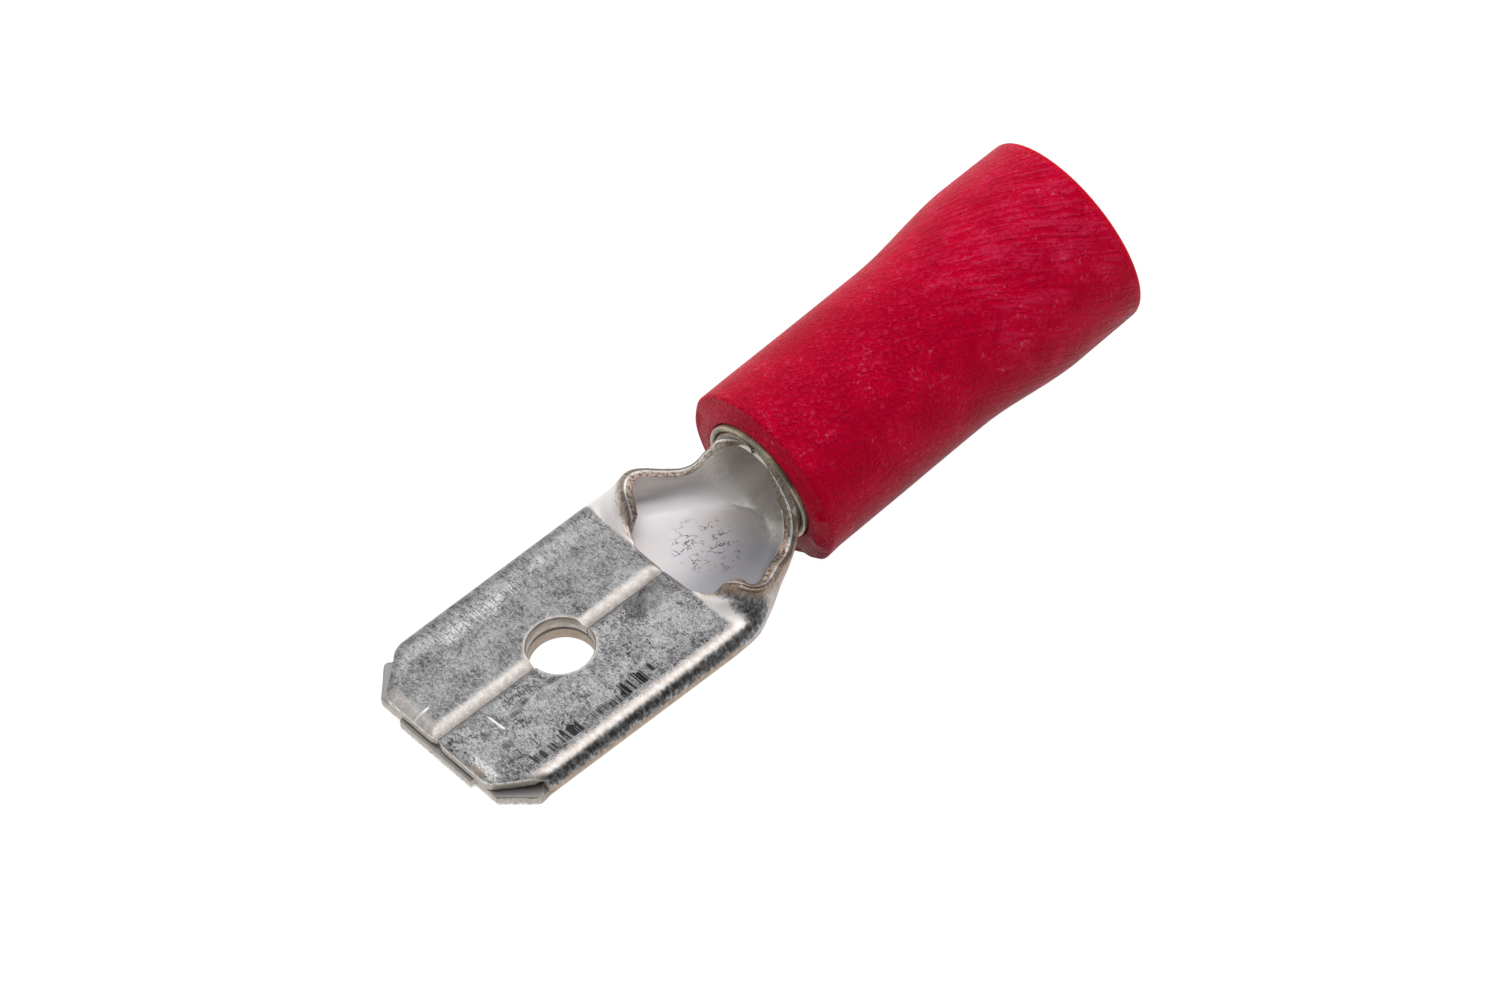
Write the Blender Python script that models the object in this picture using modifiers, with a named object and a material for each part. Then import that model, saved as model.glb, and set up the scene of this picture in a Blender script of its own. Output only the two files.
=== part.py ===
"""Insulated male spade terminal: a folded tinned-brass tab, its support sleeve and its PVC sleeve.

The terminal body is one strip of sheet. Its flat blank is laid out as a grid, with one coordinate along
the terminal and one across the strip, and a fold map then bends every row of it: hemmed over and pressed
flat at the tab, standing up as two walls at the neck, and rolled into a tube at the crimp barrel.
The terminal's own frame has X from the tip to the wire end and Z up, with its origin at the centre of
the tab's hole, halfway through the tab. The finished part is laid down as it would come to rest.
"""

import math

import bmesh
import bpy
from mathutils import Euler, Matrix, Vector

MM = 0.001

# Sheet and tab
SHEET = 0.385 * MM
FOLD_GAP = 0.03 * MM
SEAM_GAP = 0.04 * MM
HEM_EYE_RADIUS = 0.04 * MM
HEM_PRESS_RUN = 0.50 * MM
TAB_WIDTH = 6.30 * MM
TIP_TO_HOLE = 4.20 * MM
HOLE_DIAMETER = 1.79 * MM
HOLE_TO_FLAP_REAR = 3.50 * MM

# Tip: the tongue left by the carrier strip, the base layer's corners and the set-back hems and flaps
TONGUE_WIDTH = 2.74 * MM
TONGUE_PROUD = 0.17 * MM
TONGUE_STEP = 0.06 * MM
BASE_CORNER_WIDTH = 0.88 * MM
BASE_CORNER_ANGLE = math.radians(46.0)
UNCURL_RUN = 0.30 * MM
HEM_SETBACK = 1.15 * MM
HEM_SETBACK_ANGLE = math.radians(58.0)
HEM_SHOULDER = 0.28 * MM
HEM_SHOULDER_ANGLE = math.radians(130.0)
FLAP_PROUD = 0.05 * MM
FLAP_CORNER_WIDTH = 0.66 * MM
FLAP_CORNER_BLEND = 0.20 * MM

# Rolled edges of the pressed sheet
SEAM_ROLL_WIDTH = 0.42 * MM
SEAM_ROLL_DEPTH = 0.15 * MM
END_ROLL_WIDTH = 0.35 * MM
END_ROLL_DEPTH = 0.08 * MM

# Neck
NECK_LENGTH = 3.30 * MM
FLAP_REAR_CUT = 1.08 * MM
RIGHT_FLAP_LAG = 0.08 * MM
RIGHT_RIM_DROP = 0.26 * MM
FACET_WIDTH = 0.78 * MM
WAIST_HALF_BLANK = 2.34 * MM
MOUTH_SHOULDER = 2.50 * MM
MOUTH_CORNER = 0.22 * MM

# Crimp barrel, which runs slightly out of line with the tab
BARREL_BORE = 2.40 * MM
BARREL_LENGTH = 6.20 * MM
BARREL_AXIS_HEIGHT = 0.99 * MM
BARREL_SEAM_GAP = 0.06 * MM
BARREL_RISE = math.radians(2.25)
BARREL_YAW = math.radians(1.4)

# Support sleeve
SUPPORT_WALL = 0.17 * MM
SUPPORT_LENGTH = 6.25 * MM
SUPPORT_SETBACK = 0.10 * MM
SUPPORT_EDGE = 0.05 * MM
SEAT_CLEARANCE = 0.02 * MM

# Insulating sleeve
SLEEVE_SETBACK = 0.26 * MM
SLEEVE_LENGTH = 10.88 * MM
SLEEVE_FRONT_DIAMETER = 5.22 * MM
SLEEVE_WAIST_DIAMETER = 5.15 * MM
SLEEVE_FLARE_DIAMETER = 5.69 * MM
SLEEVE_REAR_DIAMETER = 5.62 * MM
FLARE_START = 5.60 * MM
FLARE_LENGTH = 3.20 * MM
FLARE_WALL = 0.62 * MM
SLEEVE_EDGE = 0.10 * MM
SLEEVE_FACE_BULGE = 0.10 * MM
ENTRY_EDGE = 0.15 * MM

# How finely round forms are divided
HEM_STEPS = 2
SUPPORT_STEPS = 40
SLEEVE_STEPS = 48
HOLE_STEPS = 48
FLARE_STEPS = 8

# Least share of the strip's half-width that the columns of the floor and of the bend end at
FLOOR_SHARE = 0.22
BEND_SHARE = 0.80

# The fold along the neck: share of the neck's length, share of the change from tab to barrel in outer
# width and in bend radius, the angle in degrees at which the bend ends and the wall starts, and the
# angle of the wall's upper part, above the facet
FOLD_TABLE = (
    (-0.10, 0.00, 0.00, 180.0, 180.0),
    (0.00, 0.01, 0.01, 180.0, 180.0),
    (0.03, 0.01, 0.01, 170.0, 189.0),
    (0.085, 0.02, 0.02, 152.0, 200.0),
    (0.115, 0.03, 0.03, 143.0, 165.0),
    (0.155, 0.04, 0.04, 134.0, 134.0),
    (0.21, 0.07, 0.07, 124.0, 124.0),
    (0.28, 0.12, 0.12, 117.0, 117.0),
    (0.39, 0.22, 0.22, 107.0, 107.0),
    (0.50, 0.35, 0.33, 97.0, 97.0),
    (0.60, 0.47, 0.45, 92.0, 92.0),
    (0.74, 0.62, 0.61, 95.0, 95.0),
    (0.86, 0.75, 0.78, 118.0, 118.0),
    (0.94, 0.85, 0.90, 152.0, 152.0),
    (1.01, 1.00, 1.00, 180.0, 180.0),
)

# The rim along the neck: share of the neck's length, share of the blank's width left above its waist
RIM_TABLE = (
    (0.00, 1.00),
    (0.085, 0.88),
    (0.12, 0.80),
    (0.155, 0.775),
    (0.21, 0.75),
    (0.28, 0.695),
    (0.39, 0.555),
    (0.50, 0.395),
    (0.60, 0.245),
    (0.68, 0.14),
    (0.76, 0.05),
    (0.84, 0.00),
    (0.90, 0.00),
    (1.00, 0.03),
)

SHEET_MID = SHEET / 2
TAB_HALF = TAB_WIDTH / 2
TAB_THICKNESS = 2 * SHEET + FOLD_GAP
BASE_MID_HEIGHT = -(SHEET + FOLD_GAP) / 2 - HEM_EYE_RADIUS / 3
HEM_RADIUS = HEM_EYE_RADIUS + SHEET_MID
HEM_ARC = math.pi * HEM_RADIUS
HEM_PRESS = 2 * HEM_EYE_RADIUS - FOLD_GAP
BASE_HALF_FLAT = TAB_HALF - SHEET_MID - HEM_RADIUS
TAB_HALF_BLANK = 2 * BASE_HALF_FLAT + HEM_ARC - SEAM_GAP / 2
BARREL_RADIUS = BARREL_BORE / 2 + SHEET_MID
BARREL_OUTER = BARREL_BORE / 2 + SHEET
BARREL_HALF_BLANK = math.pi * BARREL_RADIUS - BARREL_SEAM_GAP / 2
HEM_FRONT = HEM_SETBACK - TIP_TO_HOLE
NECK_START = HOLE_TO_FLAP_REAR
BARREL_START = NECK_START + NECK_LENGTH
BARREL_END = BARREL_START + BARREL_LENGTH
FLAP_CUT_ARC = TAB_HALF_BLANK - FLAP_REAR_CUT
SUPPORT_BORE = BARREL_OUTER + SEAT_CLEARANCE
SUPPORT_OUTER = SUPPORT_BORE + SUPPORT_WALL
SLEEVE_BORE = SUPPORT_OUTER + SEAT_CLEARANCE
ENTRY_RADIUS = SLEEVE_FLARE_DIAMETER / 2 - FLARE_WALL


def clear_scene():
    """Remove whatever the file holds, so that only the terminal is left."""
    for item in list(bpy.data.objects):
        bpy.data.objects.remove(item, do_unlink=True)


def clamp(value, low=0.0, high=1.0):
    return max(low, min(high, value))


def smooth(share):
    share = clamp(share)
    return share * share * (3 - 2 * share)


def mix(low, high, share):
    return low + (high - low) * share


def read_table(table, share, column):
    """Read one column of a table of stations, on a smooth curve through them."""
    if share <= table[0][0]:
        return table[0][column]
    if share >= table[-1][0]:
        return table[-1][column]
    index = next(i for i in range(1, len(table)) if share < table[i][0])
    left, right = table[index - 1], table[index]
    before, after = table[max(index - 2, 0)], table[min(index + 1, len(table) - 1)]
    span = right[0] - left[0]
    slope_left = (right[column] - before[column]) / (right[0] - before[0]) * span
    slope_right = (after[column] - left[column]) / (after[0] - left[0]) * span
    t = (share - left[0]) / span
    return (
        (1 + 2 * t) * (1 - t) ** 2 * left[column]
        + t * (1 - t) ** 2 * slope_left
        + (3 - 2 * t) * t * t * right[column]
        - (1 - t) * t * t * slope_right
    )


def neck_share(x):
    return (x - NECK_START) / NECK_LENGTH


def spine(x):
    """Frame of the cross-section at x: it turns from the tab's line to the barrel's along the neck."""
    beyond = max(x - BARREL_START, 0.0)
    origin = Vector((min(x, BARREL_START), 0, 0)) + barrel_rotation() @ Vector((beyond, 0, 0))
    return Matrix.Translation(origin) @ barrel_rotation(clamp(neck_share(x)))


def barrel_rotation(turn=1.0):
    return Euler((0, -BARREL_RISE * turn, BARREL_YAW * turn), "XYZ").to_matrix().to_4x4()


def section(x):
    """The fold at x: flat half-width, bend radius, the two wall angles and the floor's height, mid-sheet."""
    share = neck_share(x)
    outer_half = mix(TAB_HALF, BARREL_OUTER, read_table(FOLD_TABLE, share, 1))
    radius = mix(HEM_RADIUS, BARREL_RADIUS, read_table(FOLD_TABLE, share, 2))
    angle = math.radians(read_table(FOLD_TABLE, share, 3))
    rim_angle = math.radians(read_table(FOLD_TABLE, share, 4))
    floor = mix(BASE_MID_HEIGHT, BARREL_AXIS_HEIGHT - BARREL_RADIUS, smooth(share))
    return max(outer_half - SHEET_MID - radius, 0.0), radius, angle, rim_angle, floor


def flap_lag(x, arc):
    """How far the right-hand flap's rear is set back: it was cut a little later than the left one."""
    if arc >= 0:
        return 0.0
    share = neck_share(x)
    along = smooth(1 + 4 * share) if share < 0 else 1 - smooth(share / 0.4)
    across = clamp((TAB_HALF_BLANK - abs(arc)) / FLAP_REAR_CUT) * smooth(abs(arc) / TAB_HALF)
    return RIGHT_FLAP_LAG * along * across


def rim_drop(share, side):
    """How much lower the right-hand wall's rim was cut: the left one's is a little higher at its peak."""
    if side > 0:
        return 0.0
    return RIGHT_RIM_DROP * smooth((share - 0.10) / 0.20) * (1 - smooth((share - 0.42) / 0.26))


def edge_roll(x, arc, front):
    """How far the sheet's outer face is rolled in near the flap's edges."""
    if x > NECK_START:
        return 0.0
    along = min(x - front, NECK_START - x if arc > FLAP_CUT_ARC else NECK_LENGTH)
    end = clamp(1 - along / END_ROLL_WIDTH) ** 2 * END_ROLL_DEPTH
    seam = clamp(1 - (TAB_HALF_BLANK - arc) / SEAM_ROLL_WIDTH) ** 2 * SEAM_ROLL_DEPTH
    return max(end, seam)


def fold(x, arc, roll):
    """Outer face of the sheet at x and at the arc length from the blank's centre line."""
    flat, radius, angle, rim_angle, floor = section(x)
    side = math.copysign(1, arc)
    reach = abs(arc)
    offset = SHEET_MID - roll
    if reach <= flat:
        y, z = reach, floor - offset
    else:
        turned = min((reach - flat) / radius, angle)
        wall = max(reach - flat - radius * angle, 0.0)
        facet = min(wall, FACET_WIDTH)
        pressed = HEM_PRESS * smooth(wall / HEM_PRESS_RUN) * smooth((angle - math.pi / 2) * 2 / math.pi)
        y = flat + (radius + offset) * math.sin(turned)
        y += facet * math.cos(angle) + (wall - facet) * math.cos(rim_angle)
        z = floor + radius - (radius + offset) * math.cos(turned) - pressed
        z += facet * math.sin(angle) + (wall - facet) * math.sin(rim_angle)
        if turned < HEM_SETBACK_ANGLE + 0.01:
            z = mix(z, floor - offset, smooth((HEM_FRONT - x) / UNCURL_RUN))
    return spine(x) @ Vector((flap_lag(x, arc), side * y, z))


def tip_outline():
    """The blank's front edge as points of arc length and x, from the centre line to the flap's edge."""
    base_front = -TIP_TO_HOLE
    base_corner = TAB_HALF - BASE_CORNER_WIDTH
    corner_run = BASE_HALF_FLAT - base_corner
    corner_reach = corner_run + (HEM_RADIUS + SHEET_MID) * math.sin(BASE_CORNER_ANGLE)
    flap_start = BASE_HALF_FLAT + HEM_ARC
    flap_front = base_front - FLAP_PROUD
    flap_corner = flap_start + FLAP_CORNER_WIDTH
    return (
        (0.0, base_front - TONGUE_PROUD),
        (TONGUE_WIDTH / 2, base_front - TONGUE_PROUD),
        (TONGUE_WIDTH / 2 + TONGUE_STEP, base_front),
        (base_corner, base_front),
        (BASE_HALF_FLAT, base_front + corner_run),
        (BASE_HALF_FLAT + HEM_RADIUS * BASE_CORNER_ANGLE, base_front + corner_reach),
        (BASE_HALF_FLAT + HEM_RADIUS * HEM_SETBACK_ANGLE, HEM_FRONT),
        (BASE_HALF_FLAT + HEM_RADIUS * HEM_SHOULDER_ANGLE, HEM_FRONT),
        (flap_start, HEM_FRONT - HEM_SHOULDER),
        (flap_corner, flap_front + FLAP_CORNER_BLEND / 2),
        (flap_corner + FLAP_CORNER_BLEND, flap_front),
        (TAB_HALF_BLANK - SEAM_ROLL_WIDTH / 2, flap_front),
        (TAB_HALF_BLANK, flap_front + END_ROLL_DEPTH),
    )


def read_outline(points, arc):
    for (start, x_start), (end, x_end) in zip(points, points[1:]):
        if arc <= end:
            return mix(x_start, x_end, (arc - start) / (end - start))
    return points[-1][1]


def between(start, end, count):
    return [mix(start, end, i / count) for i in range(1, count + 1)]


def tab_columns():
    """Arc lengths of the blank's columns on one half of the tab, and how many of them run on past it."""
    outline = [arc for arc, _ in tip_outline()]
    hem_start = outline[3]
    hem_shoulder, flap_start, flap_corner, flap_flat = outline[7:11]
    shared = [0.0, TONGUE_WIDTH / 4] + outline[1:4]
    shared.insert(4, (outline[2] + hem_start) / 2)
    shared += between(hem_start, BASE_HALF_FLAT, 2)
    shared += between(BASE_HALF_FLAT, outline[5], 2) + [outline[6]]
    shared += between(outline[6], hem_shoulder, HEM_STEPS) + between(hem_shoulder, flap_start, HEM_STEPS)
    shared += between(flap_start, flap_corner, 2) + [flap_flat]
    shared += between(flap_flat, FLAP_CUT_ARC, 2)
    seam = [FLAP_CUT_ARC + FLAP_REAR_CUT - SEAM_ROLL_WIDTH]
    seam += between(seam[0], TAB_HALF_BLANK, 4)
    return shared + seam, len(shared)


def column_arcs(x, columns, shared, side):
    """Arc lengths of one side's columns at x, so that the same ones stay on the floor, bend and wall."""
    flat, radius, angle, _, _ = section(x)
    share = neck_share(x)
    above_waist = FLAP_CUT_ARC - WAIST_HALF_BLANK
    rim = WAIST_HALF_BLANK + above_waist * read_table(RIM_TABLE, share, 1)
    rim = mix(rim, MOUTH_SHOULDER, smooth((share - 0.9) * 10)) if share > 0.9 else rim
    rim -= rim_drop(share, side)
    floor_end = max(flat, rim * FLOOR_SHARE)
    bend_end = min(flat + radius * angle, rim * BEND_SHARE)
    flap_start = BASE_HALF_FLAT + HEM_ARC
    arcs = []
    for column in columns[:shared]:
        if column <= BASE_HALF_FLAT:
            arcs.append(floor_end * column / BASE_HALF_FLAT)
        elif column <= flap_start:
            arcs.append(mix(floor_end, bend_end, (column - BASE_HALF_FLAT) / HEM_ARC))
        else:
            arcs.append(mix(bend_end, rim, (column - flap_start) / (FLAP_CUT_ARC - flap_start)))
    last = len(columns) - shared
    for index in range(1, last + 1):
        if share <= 0:
            arcs.append(columns[shared - 1 + index])
        else:
            arcs.append(mix(rim, BARREL_HALF_BLANK, index / last))
    return arcs


def row_stations():
    """Rows of the blank: x, how far the row follows the tip's outline, and the part of the strip it is in."""
    tip = [(offset, "tip") for offset in (0.0, END_ROLL_WIDTH / 2, END_ROLL_WIDTH)]
    flat = [(HEM_FRONT + 2 * END_ROLL_WIDTH, "tab"), (-HOLE_DIAMETER / 2, "tab"), (HOLE_DIAMETER / 2, "tab")]
    rear = [(NECK_START - offset, "tab") for offset in (2 * END_ROLL_WIDTH, END_ROLL_WIDTH, END_ROLL_WIDTH / 2, 0)]
    neck_shares = (0.03, 0.06, 0.09, 0.12, 0.155, 0.2, 0.26, 0.32, 0.39, 0.46, 0.53, 0.61, 0.69, 0.77, 0.85, 0.93)
    neck = [(NECK_START + NECK_LENGTH * share, "neck") for share in neck_shares]
    barrel = [(BARREL_START, "barrel")]
    barrel += [(x, "barrel") for x in between(BARREL_START + MOUTH_CORNER * 2, BARREL_END, 3)]
    barrel.insert(1, (BARREL_START + MOUTH_CORNER * 2, "barrel"))
    return tip + flat + rear + neck + barrel


def fold_blank():
    """Lay out the blank as a grid, fold every vertex of it, and note how thick the sheet stays there."""
    columns, shared = tab_columns()
    outline = tip_outline()
    rows = row_stations()
    half = len(columns) - 1
    mesh = bmesh.new()
    thickness = mesh.verts.layers.deform.verify()
    grid = {}
    for i, (station, part) in enumerate(rows):
        x_mid = station if part != "tip" else -TIP_TO_HOLE
        arcs = {side: column_arcs(x_mid, columns, shared, side) for side in (-1, 1)}
        for j in range(-half, half + 1):
            if part == "neck" and abs(j) >= shared:
                continue
            arc = math.copysign(arcs[-1 if j < 0 else 1][abs(j)], j)
            front = read_outline(outline, columns[abs(j)])
            x = front + station if part == "tip" else station
            roll = edge_roll(x, abs(arc), front) if part in ("tip", "tab") else 0.0
            vert = mesh.verts.new(fold(x, arc, roll))
            vert[thickness][0] = (SHEET - roll) / SHEET
            grid[i, j] = vert
    for i in range(len(rows) - 1):
        for j in range(-half, half):
            corners = [(i, j), (i, j + 1), (i + 1, j + 1), (i + 1, j)]
            if all(corner in grid for corner in corners):
                mesh.faces.new([grid[corner] for corner in corners])
    return mesh


def finish_mesh(mesh, name, collection, material):
    """Turn a bmesh into a named object with its material."""
    data = bpy.data.meshes.new(name)
    mesh.to_mesh(data)
    mesh.free()
    item = bpy.data.objects.new(name, data)
    collection.objects.link(item)
    data.materials.append(material)
    return item


def principled(name, colour, roughness, metallic):
    material = bpy.data.materials.new(name)
    material.use_nodes = True
    shader = material.node_tree.nodes["Principled BSDF"]
    shader.inputs["Base Color"].default_value = (*colour, 1.0)
    shader.inputs["Roughness"].default_value = roughness
    shader.inputs["Metallic"].default_value = metallic
    return material


def hole_cutter(collection):
    """The punch that makes the tab's hole through both layers."""
    mesh = bmesh.new()
    radius = HOLE_DIAMETER / 2
    bmesh.ops.create_cone(
        mesh, cap_ends=True, segments=HOLE_STEPS, radius1=radius, radius2=radius, depth=3 * TAB_THICKNESS
    )
    data = bpy.data.meshes.new("hole_punch")
    mesh.to_mesh(data)
    mesh.free()
    cutter = bpy.data.objects.new("hole_punch", data)
    cutter.hide_render = True
    cutter.display_type = "WIRE"
    collection.objects.link(cutter)
    return cutter


def build_terminal_body(collection, cutters, material):
    """The folded strip: blank, fold, thickness, hole."""
    body = finish_mesh(fold_blank(), "terminal_body", collection, material)
    group = body.vertex_groups.new(name="sheet")
    solid = body.modifiers.new("sheet_thickness", "SOLIDIFY")
    solid.thickness = SHEET
    solid.offset = -1.0
    solid.vertex_group = group.name
    punch = body.modifiers.new("hole", "BOOLEAN")
    punch.operation = "DIFFERENCE"
    punch.solver = "EXACT"
    punch.object = hole_cutter(cutters)
    punch.object.parent = body
    body.data.shade_smooth()
    body.data.set_sharp_from_angle(angle=math.radians(35))
    return body


def turned_piece(name, profile, steps, collection, material):
    """A turned piece from a closed profile of radius and height, which runs down its outer side."""
    mesh = bmesh.new()
    points = [mesh.verts.new((radius, 0, height)) for radius, height in profile]
    for start, end in zip(points, points[1:] + points[:1]):
        mesh.edges.new((start, end))
    piece = finish_mesh(mesh, name, collection, material)
    screw = piece.modifiers.new("turn", "SCREW")
    screw.steps = steps
    screw.render_steps = steps
    screw.use_merge_vertices = True
    screw.merge_threshold = 0.000001
    screw.use_smooth_shade = True
    return piece


def seat_on_barrel(piece, front_x):
    """Put a turned piece on the barrel's axis, with its zero height at front_x and its length rearwards."""
    on_axis = spine(front_x) @ Matrix.Translation((0, 0, BARREL_AXIS_HEIGHT))
    piece.matrix_world = on_axis @ Euler((0, math.pi / 2, 0)).to_matrix().to_4x4()


def build_support_sleeve(collection, material):
    """The thin ferrule round the barrel, with its edges rounded."""
    low, high = SUPPORT_BORE, SUPPORT_OUTER
    edge = SUPPORT_EDGE
    profile = (
        (high, SUPPORT_LENGTH - edge),
        (high, SUPPORT_LENGTH / 2),
        (high, edge),
        (high - edge, 0),
        (low + edge, 0),
        (low, edge),
        (low, SUPPORT_LENGTH / 2),
        (low, SUPPORT_LENGTH - edge),
        (low + edge, SUPPORT_LENGTH),
        (high - edge, SUPPORT_LENGTH),
    )
    piece = turned_piece("support_sleeve", profile, SUPPORT_STEPS, collection, material)
    seat_on_barrel(piece, BARREL_START + SUPPORT_SETBACK)
    return piece


def sleeve_outer_radius(height):
    """Outer radius of the insulating sleeve at a distance from its front face."""
    front, waist = SLEEVE_FRONT_DIAMETER / 2, SLEEVE_WAIST_DIAMETER / 2
    flare, rear = SLEEVE_FLARE_DIAMETER / 2, SLEEVE_REAR_DIAMETER / 2
    straight = mix(front, waist, smooth(height / FLARE_START))
    swell = (flare - waist) * smooth((height - FLARE_START) / FLARE_LENGTH)
    flare_end = FLARE_START + FLARE_LENGTH
    fall = (rear - flare) * clamp((height - flare_end) / (SLEEVE_LENGTH - flare_end))
    return straight + swell + fall


def build_insulating_sleeve(collection, material):
    """The PVC sleeve: straight over the support sleeve, then flared for the wire's own insulation."""
    flare_end = FLARE_START + FLARE_LENGTH
    pocket_end = SUPPORT_LENGTH - SLEEVE_SETBACK + SUPPORT_SETBACK + SEAT_CLEARANCE
    heights = [SLEEVE_LENGTH - SLEEVE_EDGE, (SLEEVE_LENGTH + flare_end) / 2]
    heights += [mix(flare_end, FLARE_START, i / FLARE_STEPS) for i in range(FLARE_STEPS + 1)]
    heights += [FLARE_START * share for share in (0.66, 0.33)] + [SLEEVE_EDGE]
    outer = [(sleeve_outer_radius(height), height) for height in heights]
    front = sleeve_outer_radius(0.0)
    rear = sleeve_outer_radius(SLEEVE_LENGTH)
    face = [(front - SLEEVE_EDGE * 0.3, SLEEVE_EDGE * 0.3), (front - SLEEVE_EDGE, 0.0)]
    face += [(SLEEVE_BORE + SLEEVE_EDGE, -SLEEVE_FACE_BULGE), (SLEEVE_BORE, -SLEEVE_FACE_BULGE)]
    funnel = []
    for i in range(FLARE_STEPS + 1):
        share = i / FLARE_STEPS
        radius = mix(SLEEVE_BORE, ENTRY_RADIUS, smooth(share))
        funnel.append((radius, mix(pocket_end, flare_end, share)))
    entry = [
        (ENTRY_RADIUS, SLEEVE_LENGTH - ENTRY_EDGE),
        (ENTRY_RADIUS + ENTRY_EDGE, SLEEVE_LENGTH),
        (rear - SLEEVE_EDGE, SLEEVE_LENGTH),
        (rear - SLEEVE_EDGE * 0.3, SLEEVE_LENGTH - SLEEVE_EDGE * 0.3),
    ]
    profile = outer + face + funnel + entry
    piece = turned_piece("insulating_sleeve", profile, SLEEVE_STEPS, collection, material)
    seat_on_barrel(piece, BARREL_START + SLEEVE_SETBACK)
    return piece


def world_points(pieces):
    """Every vertex of the pieces' evaluated meshes, in world space."""
    bpy.context.view_layer.update()
    graph = bpy.context.evaluated_depsgraph_get()
    points = []
    for piece in pieces:
        evaluated = piece.evaluated_get(graph)
        mesh = evaluated.to_mesh()
        points += [evaluated.matrix_world @ vert.co for vert in mesh.vertices]
        evaluated.to_mesh_clear()
    return points


def lay_down(pieces, sleeve, collection):
    """Tip the terminal until its tongue and its sleeve both touch the ground, and stand it on the origin."""
    tongue = Vector((-TIP_TO_HOLE - TONGUE_PROUD, 0, -TAB_THICKNESS / 2))
    drops = [math.atan2(tongue.z - point.z, point.x - tongue.x) for point in world_points([sleeve])]
    rest = bpy.data.objects.new("rest_pose", None)
    collection.objects.link(rest)
    rest.rotation_euler = (0, -max(drops), 0)
    for piece in pieces:
        piece.parent = rest
    points = world_points(pieces)
    lows = [min(point[axis] for point in points) for axis in range(3)]
    highs = [max(point[axis] for point in points) for axis in range(3)]
    rest.location = (-(lows[0] + highs[0]) / 2, -(lows[1] + highs[1]) / 2, -lows[2])


def main():
    clear_scene()
    collection = bpy.data.collections.new("male_spade_terminal")
    cutters = bpy.data.collections.new("cutters")
    bpy.context.scene.collection.children.link(collection)
    bpy.context.scene.collection.children.link(cutters)
    tinned_brass = principled("tinned_brass", (0.60, 0.60, 0.60), 0.34, 1.0)
    tinned_copper = principled("tinned_copper", (0.66, 0.63, 0.55), 0.30, 1.0)
    red_pvc = principled("red_pvc", (0.60, 0.002, 0.025), 0.42, 0.0)
    body = build_terminal_body(collection, cutters, tinned_brass)
    support = build_support_sleeve(collection, tinned_copper)
    sleeve = build_insulating_sleeve(collection, red_pvc)
    lay_down([body, support, sleeve], sleeve, collection)


main()
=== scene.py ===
"""Insulated male spade terminal, dressed for the camera.

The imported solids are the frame. Three pieces take their places: the folded tin-plated strip, the ferrule
round its crimp barrel and the red PVC sleeve. Sizes are in millimetres and follow the solids; the
terminal's own frame has X from the tip to the wire end and its origin in the middle of the tab's hole.
"""

from __future__ import annotations

import logging
import math
from collections.abc import Callable, Iterator
from contextlib import contextmanager
from dataclasses import dataclass, field
from enum import Enum

import bpy
import numpy as np
from mathutils import Euler, Matrix, Vector, noise


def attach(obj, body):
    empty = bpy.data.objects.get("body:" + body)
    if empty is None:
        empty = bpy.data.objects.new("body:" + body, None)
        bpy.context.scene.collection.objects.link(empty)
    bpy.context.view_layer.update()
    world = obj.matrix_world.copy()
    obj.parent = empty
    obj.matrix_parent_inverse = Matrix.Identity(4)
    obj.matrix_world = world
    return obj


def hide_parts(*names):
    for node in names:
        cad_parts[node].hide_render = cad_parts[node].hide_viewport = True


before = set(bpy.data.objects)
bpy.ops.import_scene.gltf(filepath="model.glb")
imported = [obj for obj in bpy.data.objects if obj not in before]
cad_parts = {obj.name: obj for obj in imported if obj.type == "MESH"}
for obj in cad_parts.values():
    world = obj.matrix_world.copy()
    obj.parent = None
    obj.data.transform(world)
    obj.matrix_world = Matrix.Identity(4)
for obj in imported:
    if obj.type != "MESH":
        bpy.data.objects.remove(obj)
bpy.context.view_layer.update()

Colour = tuple[float, float, float]
Triple = tuple[float, float, float]
Pair = tuple[float, float]
Stroke = tuple[Pair, Pair, float]
Table = tuple[tuple[float, ...], ...]
Profile = list[Pair]
Piece = bpy.types.Object
Array = np.ndarray
MM = 0.001
BLANK_MAP = "blank"
BEND_MAP = "bend"
EDGE_MAP = "edge"
log = logging.getLogger("spade_terminal")


def clamp(value: float, low: float = 0.0, high: float = 1.0) -> float:
    """Keep a value between two limits."""
    return max(low, min(high, value))


def smooth(share: float) -> float:
    """Ease a share between 0 and 1 in and out."""
    share = clamp(share)
    return share * share * (3 - 2 * share)


def mix(low: float, high: float, share: float) -> float:
    """Go from one value to another by a share."""
    return low + (high - low) * share


def steps(start: float, end: float, count: int) -> list[float]:
    """Even steps from start, which is left out, to end."""
    return [mix(start, end, i / count) for i in range(1, count + 1)]


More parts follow.
